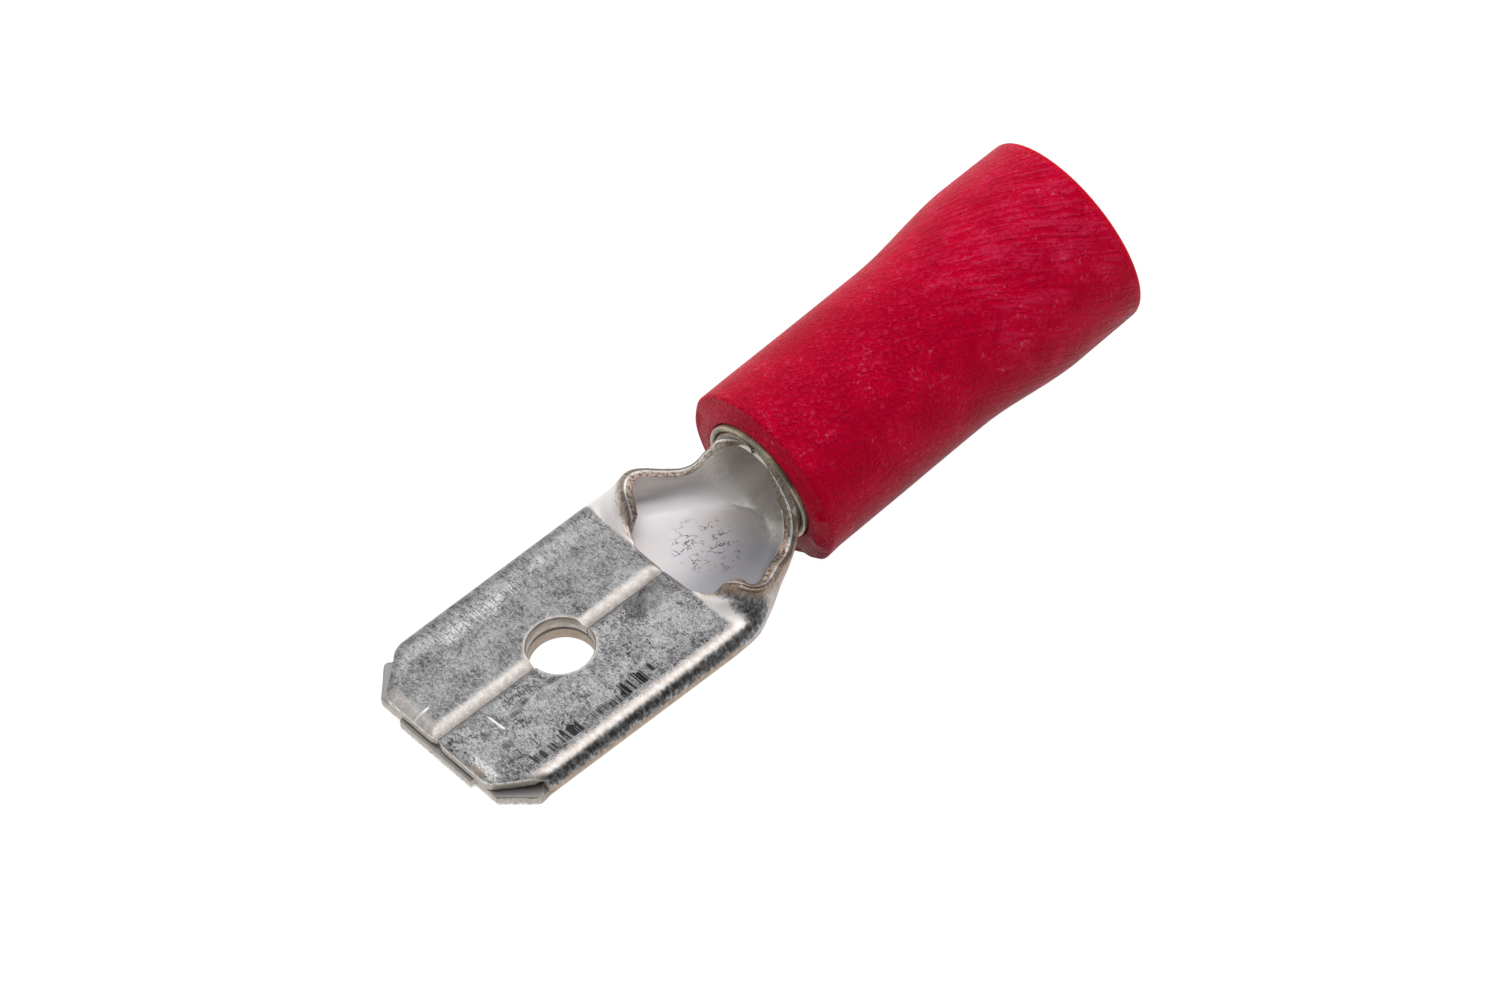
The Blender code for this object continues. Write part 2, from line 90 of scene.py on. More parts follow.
def read_table(table: Table, share: float, column: int) -> float:
    """Read one column of a table of stations, on a smooth curve through them.

    Args:
        table: Rows that start with their share of the way.
        share: Where to read.
        column: Which column to read.

    Returns:
        The value there.
    """
    if share <= table[0][0]:
        return table[0][column]
    if share >= table[-1][0]:
        return table[-1][column]
    index = next(i for i in range(1, len(table)) if share < table[i][0])
    left, right = table[index - 1], table[index]
    before, after = table[max(index - 2, 0)], table[min(index + 1, len(table) - 1)]
    span = right[0] - left[0]
    slope_left = (right[column] - before[column]) / (right[0] - before[0]) * span
    slope_right = (after[column] - left[column]) / (after[0] - left[0]) * span
    t = (share - left[0]) / span
    return (
        (1 + 2 * t) * (1 - t) ** 2 * left[column]
        + t * (1 - t) ** 2 * slope_left
        + (3 - 2 * t) * t * t * right[column]
        - (1 - t) * t * t * slope_right
    )


def maths(operation: str, swapped: bool = False) -> Callable[..., Wire]:
    """A method of Wire that adds a Math node; when swapped, the other value comes first."""

    def method(self: Wire, *others: Wire | float) -> Wire:
        """Reckon with this wire and another value."""
        return self.reckon(operation, *((*others, self) if swapped else (self, *others)))

    return method


class Wire:
    """A shader socket that can be reckoned with as if it were a number."""

    __add__ = __radd__ = maths("ADD")
    __sub__ = maths("SUBTRACT")
    __rsub__ = maths("SUBTRACT", swapped=True)
    __mul__ = __rmul__ = maths("MULTIPLY")
    __abs__ = maths("ABSOLUTE")
    at_most = maths("MINIMUM")
    at_least = maths("MAXIMUM")

    def __init__(self, bench: Bench, socket: bpy.types.NodeSocket) -> None:
        """Keep the socket and the bench that its material is made on."""
        self.bench = bench
        self.socket = socket

    def reckon(self, operation: str, *terms: Wire | float) -> Wire:
        """Add a Math node for an operation on these terms."""
        return self.bench.node("ShaderNodeMath", {"operation": operation}, dict(enumerate(terms)))

    def about(self, depth: float) -> Wire:
        """A noise's swing to both sides of its average, made so deep."""
        return (self - 0.5) * depth

    def rise(self, low: Wire | float, high: Wire | float) -> Wire:
        """Ease from 0 at low to 1 at high; it falls instead where high is the lesser."""
        settings = {"interpolation_type": "SMOOTHSTEP"}
        return self.bench.node("ShaderNodeMapRange", settings, {0: self, 1: low, 2: high})

    def within(self, low: Wire | float, high: Wire | float, edge: float) -> Wire:
        """A soft mask that is 1 between two limits."""
        return self.rise(low - edge, low + edge) * self.rise(high + edge, high - edge)


class Bench:
    """Where one material is put together, node by node."""

    def __init__(self, name: str) -> None:
        """Start a material with nothing but its Principled shader."""
        self.material = bpy.data.materials.new(name)
        self.material.use_nodes = True
        self.tree = self.material.node_tree
        self.shader = self.tree.nodes["Principled BSDF"]

    @classmethod
    def on(cls, world: bpy.types.World) -> Bench:
        """A bench on a world's nodes."""
        bench = cls.__new__(cls)
        bench.tree = world.node_tree
        return bench

    def node(
        self, kind: str, settings: dict | None = None, values: dict | None = None, output: int | str = 0
    ) -> Wire:
        """Add a node.

        Args:
            kind: Its type.
            settings: Its own settings, such as a Math node's operation.
            values: A value or a wire for each socket, by the socket's name or number.
            output: Which of its outputs to go on with.

        Returns:
            The wire from that output.
        """
        made = self.tree.nodes.new(kind)
        for name, value in (settings or {}).items():
            setattr(made, name, value)
        for socket, value in (values or {}).items():
            self.feed(made.inputs[socket], value)
        return Wire(self, made.outputs[output])

    def feed(self, socket: bpy.types.NodeSocket, value: Wire | float | tuple[float, ...]) -> None:
        """Link a wire to a socket, or set the socket's own value."""
        if isinstance(value, Wire):
            self.tree.links.new(value.socket, socket)
        elif isinstance(value, tuple) and socket.type == "RGBA":
            socket.default_value = (*value, 1.0)
        else:
            socket.default_value = value

    def finish(self, **sockets: Wire | float | Colour) -> bpy.types.Material:
        """Feed the Principled shader and hand over the material; Base_Color stands for Base Color."""
        for name, value in sockets.items():
            self.feed(self.shader.inputs[name.replace("_", " ")], value)
        return self.material

    def uv(self, name: str) -> Wire:
        """A UV map's coordinates."""
        return self.node("ShaderNodeUVMap", {"uv_map": name})

    def place(self) -> Wire:
        """The place on the piece, in metres."""
        return self.node("ShaderNodeTexCoord", output="Object")

    def rays(self, kind: str) -> Wire:
        """A mask of one kind of rays."""
        return self.node("ShaderNodeLightPath", output=f"Is {kind} Ray")

    def split(self, vector: Wire) -> tuple[Wire, ...]:
        """Take a vector apart."""
        apart = self.node("ShaderNodeSeparateXYZ", None, {0: vector}).socket.node
        return tuple(Wire(self, output) for output in apart.outputs)

    def join(self, x: Wire | float, y: Wire | float, z: Wire | float = 0.0) -> Wire:
        """Put a vector together."""
        return self.node("ShaderNodeCombineXYZ", None, {0: x, 1: y, 2: z})

    def vector_maths(self, operation: str, values: dict, output: int | str = 0) -> Wire:
        """Add a Vector Math node."""
        return self.node("ShaderNodeVectorMath", {"operation": operation}, values, output)

    def reach(self, vector: Wire, axis: tuple[float, ...], shift: float = 0.0) -> Wire:
        """How far a place lies along an axis, from a shifted zero."""
        return self.vector_maths("DOT_PRODUCT", {0: vector, 1: axis}, "Value") + shift

    def grain(
        self, vector: Wire, scale: float, detail: float = 3.0, rough: float = 0.55, bend: float = 0.0
    ) -> Wire:
        """A noise pattern, about 0.5 on average, with so many grains a unit."""
        values = {"Vector": vector, "Scale": scale, "Detail": detail, "Roughness": rough, "Distortion": bend}
        return self.node("ShaderNodeTexNoise", None, values)

    def warp(self, vector: Wire, scale: float, reach: float) -> Wire:
        """Push a pattern's coordinates about by a noise, by up to half of reach."""
        push = self.node("ShaderNodeTexNoise", None, {"Vector": vector, "Scale": scale, "Detail": 2.0}, "Color")
        moved = self.vector_maths("SUBTRACT", {0: push, 1: (0.5,) * 3})
        return self.vector_maths("MULTIPLY_ADD", {0: moved, 1: (reach,) * 3, 2: vector})

    def cracks(self, vector: Wire, scale: float) -> Wire:
        """Distance to the nearest border between cells, so many of them a unit."""
        settings = {"feature": "DISTANCE_TO_EDGE"}
        return self.node("ShaderNodeTexVoronoi", settings, {"Vector": vector, "Scale": scale})

    def blend(self, share: Wire | float, below: Wire | Colour, above: Wire | Colour) -> Wire:
        """Lay one colour over another by a share."""
        return self.node("ShaderNodeMix", {"data_type": "RGBA"}, {0: share, 6: below, 7: above}, 2)

    def lay(self, colour: Wire | Colour, *layers: tuple[Wire, Wire | Colour]) -> Wire:
        """Lay several colours over one, in order, each by its own share."""
        for share, above in layers:
            colour = self.blend(share, colour, above)
        return colour

    def ramp(self, share: Wire, stops: tuple[tuple[float, Colour], ...]) -> Wire:
        """Colours along a ramp of stops."""
        wire = self.node("ShaderNodeValToRGB", None, {0: share})
        elements = wire.socket.node.color_ramp.elements
        while len(elements) < len(stops):
            elements.new(0.5)
        for element, (place, colour) in zip(elements, stops):
            element.position = place
            element.color = (*colour, 1.0)
        return wire

    def bump(self, height: Wire, depth_mm: float) -> Wire:
        """Turn a height pattern, 0 to 1, into a normal."""
        return self.node("ShaderNodeBump", None, {"Strength": 1.0, "Distance": depth_mm * MM, "Height": height})

    def stroke(self, x: Wire, y: Wire, start: Pair, end: Pair, width: float) -> Wire:
        """A mask of one straight scratch between two places, in the units of x and y."""
        run = math.hypot(end[0] - start[0], end[1] - start[1])
        across = ((end[0] - start[0]) / run, (end[1] - start[1]) / run)
        dx, dy = x - start[0], y - start[1]
        along = dx * across[0] + dy * across[1]
        off = abs(dy * across[0] - dx * across[1])
        return off.rise(width, width * 0.3) * along.within(0.0, run, width)


class Slot(Enum):
    """Material slots of the folded strip."""

    OUTER = 0
    INNER = 1
    SHEARED = 2
    PUNCHED = 3


@dataclass(frozen=True)
class WornTin:
    """Tin plate on the strip's outer face: scuffed on the pressed flats, cleaner on the formed neck."""

    white: Colour = (0.86, 0.85, 0.84)
    bright: Colour = (0.58, 0.575, 0.575)
    pale: Colour = (0.42, 0.42, 0.425)
    middle: Colour = (0.24, 0.24, 0.245)
    dark: Colour = (0.075, 0.075, 0.078)
    black: Colour = (0.02, 0.02, 0.022)
    ivory: Colour = (0.97, 0.92, 0.87)
    cream: Colour = (0.88, 0.84, 0.83)
    blush: Colour = (0.52, 0.46, 0.43)
    chalk: Colour = (0.66, 0.63, 0.62)
    tarnish: Colour = (0.46, 0.42, 0.36)
    tan: Colour = (0.44, 0.34, 0.26)
    rust: Colour = (0.34, 0.22, 0.13)
    flap_edge: float = 6.18
    hole_radius: float = 0.895
    neck_start: Pair = (3.35, 3.60)
    combs: Table = (
        (-2.95, -2.15, -2.50, -2.20, 0.85),
        (-2.00, -1.32, -2.50, -2.10, 0.95),
        (-1.08, -0.45, -2.44, -2.20, 0.80),
        (-0.45, 0.20, -2.52, -2.24, 0.90),
        (0.14, 0.95, -2.48, -2.02, 1.00),
        (1.02, 1.30, -2.32, -2.04, 0.90),
    )
    dents: tuple[Stroke, ...] = (
        ((-1.10, -0.67), (-0.58, -0.74), 0.12), ((-2.00, -0.76), (-1.72, -0.70), 0.08),
        ((-2.46, -0.82), (-2.22, -0.86), 0.10), ((-2.74, -0.70), (-2.70, -0.80), 0.08),
        ((-2.98, -0.72), (-2.92, -0.78), 0.09), ((-3.30, -0.80), (-3.27, -0.92), 0.12),
        ((-3.15, -1.40), (-3.13, -1.53), 0.12), ((-2.52, -1.68), (-2.50, -2.01), 0.035),
    )
    scratches: tuple[Stroke, ...] = (
        ((-4.32, 0.85), (-3.72, 0.89), 0.05), ((-2.83, -0.45), (-2.79, -1.03), 0.04),
    )
    stain: Stroke = ((-4.14, -1.30), (-4.16, -1.72), 0.11)

    def material(self) -> bpy.types.Material:
        """Make the material."""
        b = Bench("worn_tin_plate")
        blank = b.uv(BLANK_MAP)
        x, arc, _ = b.split(blank)
        turn, _, _ = b.split(b.uv(BEND_MAP))
        margin, _, _ = b.split(b.uv(EDGE_MAP))
        reach = abs(arc)
        left = arc.rise(-0.01, 0.01)
        y = (self.flap_edge - reach) * (left * 2.0 - 1.0)
        fine = b.grain(blank, 11.0, 4.0, 0.66, 1.6)
        strokes = b.grain(b.join(x * 17.0, arc * 5.0), 1.0, 3.0, 0.62, 1.2)
        scuffed = b.blend(left * 0.22, self.scuffed(b, blank, fine, strokes), self.middle)
        scuffed = self.marked(b, scuffed, x, y, fine, strokes)
        right_edge = (abs(y) + fine.about(0.3)).rise(2.72, 2.56)
        flap = turn.rise(0.90, 0.94).at_least(left * turn.rise(0.62, 0.72)) * x.rise(3.52, 3.40)
        flap = flap * left.at_least(right_edge)
        pressed = flap.at_least(turn.rise(0.10, 0.04))
        rim = (x * x + y * y).rise((self.hole_radius + 0.13) ** 2, (self.hole_radius + 0.05) ** 2) * flap
        seam = left * (self.flap_edge - 0.02 - reach + fine.about(0.2)).rise(0.42, 0.24) * x.rise(3.6, 3.4)
        front = (x + fine.about(0.3)).rise(-3.82, -4.02) * y.within(0.0, 2.05, 0.15) * 0.75
        ragged = b.grain(blank, 6.0, 3.0).about(0.2)
        # Painted dark reflection with some real speckle: a dark band along the right-hand hem's bend.
        speckle_and_painted_reflection = turn.within(0.54 + ragged, 0.83 + ragged, 0.05) * x.rise(4.9, 4.5) * (1.0 - left)
        neck = x.rise(*self.neck_start)
        torn = (margin + fine.about(1.2)).rise(0.42, 0.12) * neck
        lip = (margin + fine.about(0.25)).rise(0.06, 0.02) * neck
        formed = b.lay(
            self.formed(b, blank, fine, x, turn, speckle_and_painted_reflection),
            (torn * 0.8, b.blend(fine.rise(0.42, 0.54), self.rust, self.tan)),
            (lip * 0.6, self.dark),
        )
        worn = seam.at_least(rim).at_least(front) * 0.85
        return b.finish(
            Base_Color=b.blend(pressed * (1.0 - worn), formed, scuffed),
            Roughness=0.42 + fine.about(0.3),
            Metallic=1.0 - neck * (1.0 - speckle_and_painted_reflection) * 0.55,
            Normal=b.bump((fine * 0.5 + strokes * 0.5) * (0.25 + pressed * 0.75), 0.012),
        )

    def scuffed(self, b: Bench, blank: Wire, fine: Wire, strokes: Wire) -> Wire:
        """Grey pressed tin, with fine transverse strokes, a net of dark cracks and pale curls."""
        mottle = b.grain(blank, 1.3, 4.0, 0.62, 0.6)
        net = b.cracks(b.warp(blank, 7.0, 0.30), 3.6).rise(0.055, 0.012)
        curls = b.cracks(b.warp(blank, 5.0, 0.55), 4.2).rise(0.055, 0.015)
        broken = b.grain(blank, 2.6, 3.0, 0.6)
        shade = 0.47 + fine.about(0.90) + strokes.about(0.60) + mottle.about(0.55)
        stops = (
            (0.18, self.black), (0.32, self.dark), (0.43, self.middle),
            (0.55, self.pale), (0.73, self.bright), (0.93, self.white),
        )
        return b.lay(
            b.ramp(shade, stops),
            (curls * broken.rise(0.50, 0.40) * 0.75, self.bright),
            (net * broken.rise(0.50, 0.62) * 0.65, self.dark),
        )

    def marked(self, b: Bench, colour: Wire, x: Wire, y: Wire, fine: Wire, strokes: Wire) -> Wire:
        """The scratches, combs and stains that the photograph shows on the flaps."""
        ragged = fine.rise(0.38, 0.56)
        teeth = b.grain(b.join(x * 21.0, y * 0.7, 3.0), 1.0, 1.0, 0.5).rise(0.44, 0.50)
        uneven = b.grain(b.join(x * 8.0, 0.0, 5.0), 1.0, 2.0).about(0.55)
        for start, end, outer, inner, depth in self.combs:
            comb = x.within(start, end, 0.05) * y.within(outer, inner + uneven, 0.025)
            colour = b.blend(comb * teeth.at_least(ragged * 0.35) * depth, colour, self.black)
        left_comb = x.within(-2.10, 0.45, 0.15) * y.within(2.02, 2.42, 0.10)
        smear = x.within(2.0, 3.35, 0.2) * y.within(-0.80, -0.16, 0.08)
        corner = x.within(-4.12, -3.86, 0.06) * y.within(-2.20, -1.10, 0.08)
        colour = b.lay(
            colour,
            (left_comb * teeth * ragged * 0.5, self.white),
            (smear * ragged * strokes.rise(0.42, 0.56) * 0.8, self.dark),
            (corner * ragged * 0.65, self.white),
        )
        marks = [(mark, ragged, self.dark) for mark in self.dents]
        marks += [(mark, 1.0, self.white) for mark in self.scratches]
        for mark, share, shade in [*marks, (self.stain, ragged * 0.9, self.rust)]:
            colour = b.blend(b.stroke(x, y, *mark) * share, colour, shade)
        return colour

    def formed(self, b: Bench, blank: Wire, fine: Wire, x: Wire, turn: Wire, speckle_and_painted_reflection: Wire) -> Wire:
        """Bright tin on the hems and the neck; along the right-hand bend, dark speckle and a painted dark
        reflection.
        """
        neck = x.rise(*self.neck_start)
        bent = turn.rise(0.05, 0.12)
        streaks = b.grain(b.join(x * 3.0, turn * 30.0), 1.0, 4.0, 0.7)
        speckle = b.grain(blank, 9.0, 5.0, 0.75)
        hem = b.blend(b.grain(blank, 5.0, 4.0, 0.7).rise(0.40, 0.60), self.blush, self.chalk)
        hem = b.blend(fine.rise(0.55, 0.40) * 0.7, hem, self.tarnish)
        facet = b.blend(b.grain(blank, 1.4, 3.0).rise(0.38, 0.62), self.ivory, self.cream)
        facet = b.blend(fine.rise(0.38, 0.24) * 0.35, facet, self.tarnish)
        tube = b.blend((fine * 0.5 + streaks * 0.5).rise(0.38, 0.60), self.tan, self.chalk)
        stops = ((0.36, self.black), (0.46, self.dark), (0.55, self.middle), (0.66, self.bright))
        low = turn.rise(0.62, 0.50) * bent * (1.0 - neck)
        flank = turn.rise(0.58, 0.44) * bent * neck
        return b.lay(
            hem,
            (neck, facet),
            (x.rise(4.5, 5.0), tube),
            (low * 0.8, b.blend(speckle.rise(0.42, 0.58), self.rust, self.tan)),
            (flank * 0.85, b.blend(speckle.rise(0.40, 0.56), self.tan, self.blush)),
            # Dark speckle and a painted dark reflection along the right-hand bend.
            (speckle_and_painted_reflection * 0.9, b.ramp(speckle, stops)),
        )


@dataclass(frozen=True)
class CleanTin:
    """Unscuffed tin plate on the strip's inner face, with dark flecks in the middle of the trough, a painted
    highlight band and painted shade.
    """

    base: Colour = (0.72, 0.72, 0.76)
    tint: Colour = (0.76, 0.72, 0.72)
    # Painted highlight colour for the band where the floor bends up into the left wall.
    painted_highlight: Colour = (1.0, 0.97, 0.98)
    dull: Colour = (0.36, 0.34, 0.33)
    # Painted shade colour for the floor's right-hand side.
    shade: Colour = (0.38, 0.38, 0.41)
    wall: Colour = (0.93, 0.88, 0.84)
    mouth: Colour = (0.98, 0.95, 0.88)
    fleck: Colour = (0.10, 0.10, 0.11)
    fleck_centre: Pair = (5.0, 0.15)
    fleck_spread: Pair = (0.90, 1.25)

    def material(self) -> bpy.types.Material:
        """Make the material."""
        b = Bench("clean_tin_plate")
        blank = b.uv(BLANK_MAP)
        x, arc, _ = b.split(blank)
        turn, _, _ = b.split(b.uv(BEND_MAP))
        off_x = (x - self.fleck_centre[0]) * (1 / self.fleck_spread[0])
        off_arc = (arc - self.fleck_centre[1]) * (1 / self.fleck_spread[1])
        lines = b.cracks(b.warp(blank, 4.0, 0.6), 2.8).rise(0.070, 0.018)
        flecks = lines * b.grain(blank, 3.0, 3.0, 0.6).rise(0.46, 0.54)
        flecks = flecks * (off_x * off_x + off_arc * off_arc).rise(1.15, 0.55)
        fine = b.grain(blank, 10.0, 4.0, 0.6)
        tinned = b.grain(blank, 7.0, 4.0, 0.7)
        # Painted highlight: a bright band where the floor bends up into the left wall, with less metal so that
        # it stays pale.
        painted_highlight_band = turn.within(0.02, 0.30, 0.12) * x.rise(4.1, 4.7) * arc.rise(0.5, 1.1)
        rim = x.rise(6.10, 6.75)
        colour = b.lay(
            self.base,
            (b.grain(blank, 0.9, 2.0).rise(0.35, 0.65), self.tint),
            # Painted shade: darker towards the floor's right-hand side.
            (arc.rise(0.6, -1.3), self.shade),
            # Painted highlight band.
            (painted_highlight_band, self.painted_highlight),
            (turn.rise(0.30, 0.48), self.wall),
            (x.rise(-2.5, -3.0) * 0.9, self.dull),
            (rim * (0.35 + tinned.rise(0.40, 0.60) * 0.4), self.mouth),
            (flecks * 0.9, self.fleck),
        )
        return b.finish(
            Base_Color=colour,
            Roughness=0.44 + fine.about(0.12),
            Metallic=0.66 - painted_highlight_band * 0.60,
            Normal=b.bump(fine * (1.0 - rim) + tinned * rim * 4.0, 0.003),
        )


@dataclass(frozen=True)
class ShearedEdge:
    """The cut edge of the strip: tin drawn over its outer half, then a torn, speckled band and a dark line."""

    tin: Colour = (0.86, 0.84, 0.82)
    pink: Colour = (0.56, 0.44, 0.38)
    beige: Colour = (0.60, 0.54, 0.45)
    worn: Colour = (0.56, 0.53, 0.47)
    olive: Colour = (0.16, 0.14, 0.10)
    brown: Colour = (0.20, 0.13, 0.09)
    dark: Colour = (0.05, 0.04, 0.035)

    def material(self) -> bpy.types.Material:
        """Make the material."""
        b = Bench("sheared_edge")
        x, _, _ = b.split(b.uv(BLANK_MAP))
        _, depth, _ = b.split(b.uv(BEND_MAP))
        fine = b.grain(b.place(), 11000.0, 5.0, 0.72)
        patch = b.grain(b.place(), 2600.0, 3.0, 0.6)
        level = depth + patch.about(0.5)
        torn = b.lay(
            self.pink,
            (patch.rise(0.40, 0.60), self.beige),
            (fine.rise(0.53, 0.42), self.brown),
            (fine.rise(0.60, 0.72), self.tin),
            # Darker olive at the barrel's mouth: partly the raw metal's tone, partly painted shade beside the
            # ferrule.
            (x.rise(6.55, 6.80) * 0.6, self.olive),
            (x.rise(-2.4, -3.2) * 0.7, self.worn),
        )
        drawn = b.blend(fine.rise(0.50, 0.40) * 0.6, self.tin, self.olive)
        colour = b.lay(torn, (level.rise(0.30, 0.20), drawn), (level.rise(0.90, 0.98) * 0.8, self.dark))
        return b.finish(Base_Color=colour, Roughness=0.40, Metallic=0.7, Normal=b.bump(fine, 0.02))


@dataclass(frozen=True)
class PunchedWall:
    """The wall of the hole: two layers, with a dark line where they meet and a browner lower one."""

    axis: Triple
    zero: float
    base: Colour = (0.42, 0.38, 0.33)
    pale: Colour = (0.58, 0.54, 0.49)
    brown: Colour = (0.34, 0.23, 0.15)
    line: Colour = (0.06, 0.04, 0.03)

    def material(self) -> bpy.types.Material:
        """Make the material."""
        b = Bench("punched_wall")
        x, y, _ = b.split(b.place())
        height = b.reach(b.place(), self.axis, self.zero)
        marks = b.grain(b.join(x * 3000.0, y * 3000.0, height * 14.0), 1.0, 4.0, 0.6)
        colour = b.lay(
            self.base,
            (marks.rise(0.38, 0.62), self.pale),
            (height.rise(0.02, -0.10) * 0.6, self.brown),
            (height.within(-0.075, 0.03, 0.025) * 0.9, self.line),
        )
        return b.finish(Base_Color=colour, Roughness=0.45, Metallic=0.85, Normal=b.bump(marks, 0.012))


@dataclass(frozen=True)
class GoldenTin:
    """Thin tin over copper on the ferrule, with dirt in its edge."""

    gold: Colour = (0.47, 0.42, 0.30)
    grey: Colour = (0.26, 0.25, 0.20)
    dirt: Colour = (0.10, 0.08, 0.06)

    def material(self) -> bpy.types.Material:
        """Make the material."""
        b = Bench("golden_tin")
        fine = b.grain(b.place(), 9000.0, 4.0, 0.65)
        cloud = b.grain(b.place(), 1500.0, 3.0)
        colour = b.lay(self.gold, (cloud.rise(0.4, 0.6), self.grey), (fine.rise(0.60, 0.72) * 0.8, self.dirt))
        rough = 0.34 + fine * 0.2
        return b.finish(Base_Color=colour, Roughness=rough, Metallic=1.0, Normal=b.bump(fine, 0.012))


@dataclass(frozen=True)
class RedPVC:
    """Moulded PVC: pebbled skin, helical streaks on the flare, pale scuffs with painted sheen and glints,
    painted shade below, a painted glow at the rear rim.
    """

    local: Table
    length: float
    red: Colour = (0.70, 0.0002, 0.032)
    deep: Colour = (0.58, 0.0002, 0.026)
    # Painted shade colour for the sleeve's lower side.
    low: Colour = (0.22, 0.0001, 0.010)
    # Painted sheen colour on the pebbles' tops, partly pale scuffs.
    pale: Colour = (0.76, 0.028, 0.100)
    # Painted glint colour.
    painted_glint: Colour = (0.86, 0.16, 0.25)
    # Painted glow: the rear rim is a brighter red, as if lit through.
    rim: Colour = (0.78, 0.006, 0.020)
    twist: float = 13.0

    def material(self) -> bpy.types.Material:
        """Make the material."""
        b = Bench("red_pvc_skin")
        place = b.place()
        across, up, along = (b.reach(place, row[:3], row[3]) for row in self.local)
        pebbles = b.grain(place, 8000.0, 3.0, 0.62, 0.8)
        broad = b.grain(place, 800.0, 4.0, 0.6, 0.6)
        flare = along.rise(4.8, 7.0)
        relief = pebbles * (0.75 - flare * 0.3) + self.streaks(b, across, up, along) * (0.15 + flare * 0.4)
        low_side = across * 0.38
        # Painted sheen: pale pink on the pebbles' tops, in broad patches and thickest on the upper side; partly
        # pale scuffs.
        painted_sheen_side = (0.0 - low_side - up * 0.05).rise(0.70, 1.0) * 0.6
        scuffs_and_painted_sheen = (broad.rise(0.40, 0.62) * 0.7 + painted_sheen_side).at_most(1.0) * relief.rise(0.45, 0.60)
        # Painted glints: pale pink specks in the same patches.
        specks = b.grain(place, 7500.0, 3.0, 0.6).rise(0.60, 0.72) * broad.rise(0.42, 0.60)
        colour = b.lay(
            self.deep,
            (broad.rise(0.36, 0.64), self.red),
            # Painted shade: the sleeve's lower side is darkened.
            (low_side.rise(-0.4, 0.9) * 0.95, self.low),
            # Painted sheen on the pebbles' tops, partly pale scuffs.
            (scuffs_and_painted_sheen * (0.95 - flare * 0.2), self.pale),
            # Painted glints.
            (specks * 0.55, self.painted_glint),
            # Painted glow along the rear rim.
            (along.rise(self.length - 0.22, self.length - 0.06) * 0.8, self.rim),
        )
        return b.finish(
            Base_Color=colour,
            Roughness=0.36 + pebbles.about(0.3),
            Specular_IOR_Level=0.05,
            Specular_Tint=(1.0, 0.10, 0.26),
            Normal=b.bump(relief, 0.16),
        )

    def streaks(self, b: Bench, across: Wire, up: Wire, along: Wire) -> Wire:
        """A grain drawn out along a helix, made by untwisting the sleeve before the noise is read."""
        turn = along * math.radians(self.twist)
        cosine, sine = turn.reckon("COSINE", turn), turn.reckon("SINE", turn)
        untwisted = b.join(across * cosine + up * sine, up * cosine - across * sine, along * 0.16)
        return b.grain(untwisted, 7.0, 3.0, 0.6, 0.2)


@dataclass
class LaidDown:
    """How the terminal lies: tipped until its tongue and its sleeve both touch the ground."""

    tip_deg: float = -5.932
    centre: Triple = (-6.8624, 0.0, 0.84949)
    barrel_start: float = 6.80
    axis_height: float = 0.99
    rise_deg: float = 2.25
    yaw_deg: float = 1.4

    def matrix(self) -> Matrix:
        """The terminal's own frame, in millimetres, set in the row frame, in metres."""
        turned = Euler((0, math.radians(self.tip_deg), 0)).to_matrix().to_4x4()
        return Matrix.Diagonal((MM, MM, MM, 1)) @ Matrix.Translation(self.centre) @ turned

    def height_axis(self) -> tuple[Triple, float]:
        """Axis and shift that give a place's height over the tab's middle, in millimetres."""
        inverse = self.matrix().inverted()
        return tuple(inverse[2][:3]), inverse[2][3]

    def barrel_turn(self, share: float = 1.0) -> Matrix:
        """How far the barrel's line has turned from the tab's."""
        angles = (0, -math.radians(self.rise_deg) * share, math.radians(self.yaw_deg) * share)
        return Euler(angles, "XYZ").to_matrix().to_4x4()

    def spine(self, x: float, share: float) -> Matrix:
        """Frame of the cross-section at x, with so much of the barrel's turn."""
        beyond = max(x - self.barrel_start, 0.0)
        origin = Vector((min(x, self.barrel_start), 0, 0)) + self.barrel_turn() @ Vector((beyond, 0, 0))
        return Matrix.Translation(origin) @ self.barrel_turn(clamp(share))

    def on_barrel(self, front: float) -> Matrix:
        """Frame of a turned piece whose zero height is at front and whose length runs rearwards."""
        upright = Euler((0, math.pi / 2, 0)).to_matrix().to_4x4()
        raised = Matrix.Translation((0, 0, self.axis_height))
        return self.matrix() @ self.spine(front, 1.0) @ raised @ upright


def deselect() -> None:
    """Leave nothing selected, so that an operator acts on the next piece alone."""
    bpy.ops.object.select_all(action="DESELECT")


def hold(piece: Piece) -> None:
    """Select one piece and make it active."""
    deselect()
    piece.select_set(True)
    bpy.context.view_layer.objects.active = piece


@contextmanager
def editing(kind: str) -> Iterator[None]:
    """Work on the active piece's mesh, with vertices or faces as what is selected."""
    bpy.ops.object.mode_set(mode="EDIT")
    bpy.ops.mesh.select_mode(type=kind)
    yield
    bpy.ops.object.mode_set(mode="OBJECT")


def lift(height: float) -> None:
    """Extrude what is selected straight up."""
    bpy.ops.mesh.extrude_region_move(TRANSFORM_OT_translate={"value": (0, 0, height)})


def places_of(piece: Piece) -> Array:
    """Where a piece's points are."""
    return np.array([vert.co[:] for vert in piece.data.vertices])


def move_points(piece: Piece, places: Array) -> None:
    """Put a piece's points elsewhere."""
    piece.data.vertices.foreach_set("co", places.ravel())
    piece.data.update()


def apply_modifiers(piece: Piece) -> None:
    """Apply every modifier of a piece, in order."""
    hold(piece)
    for modifier in list(piece.modifiers):
        bpy.ops.object.modifier_apply(modifier=modifier.name)


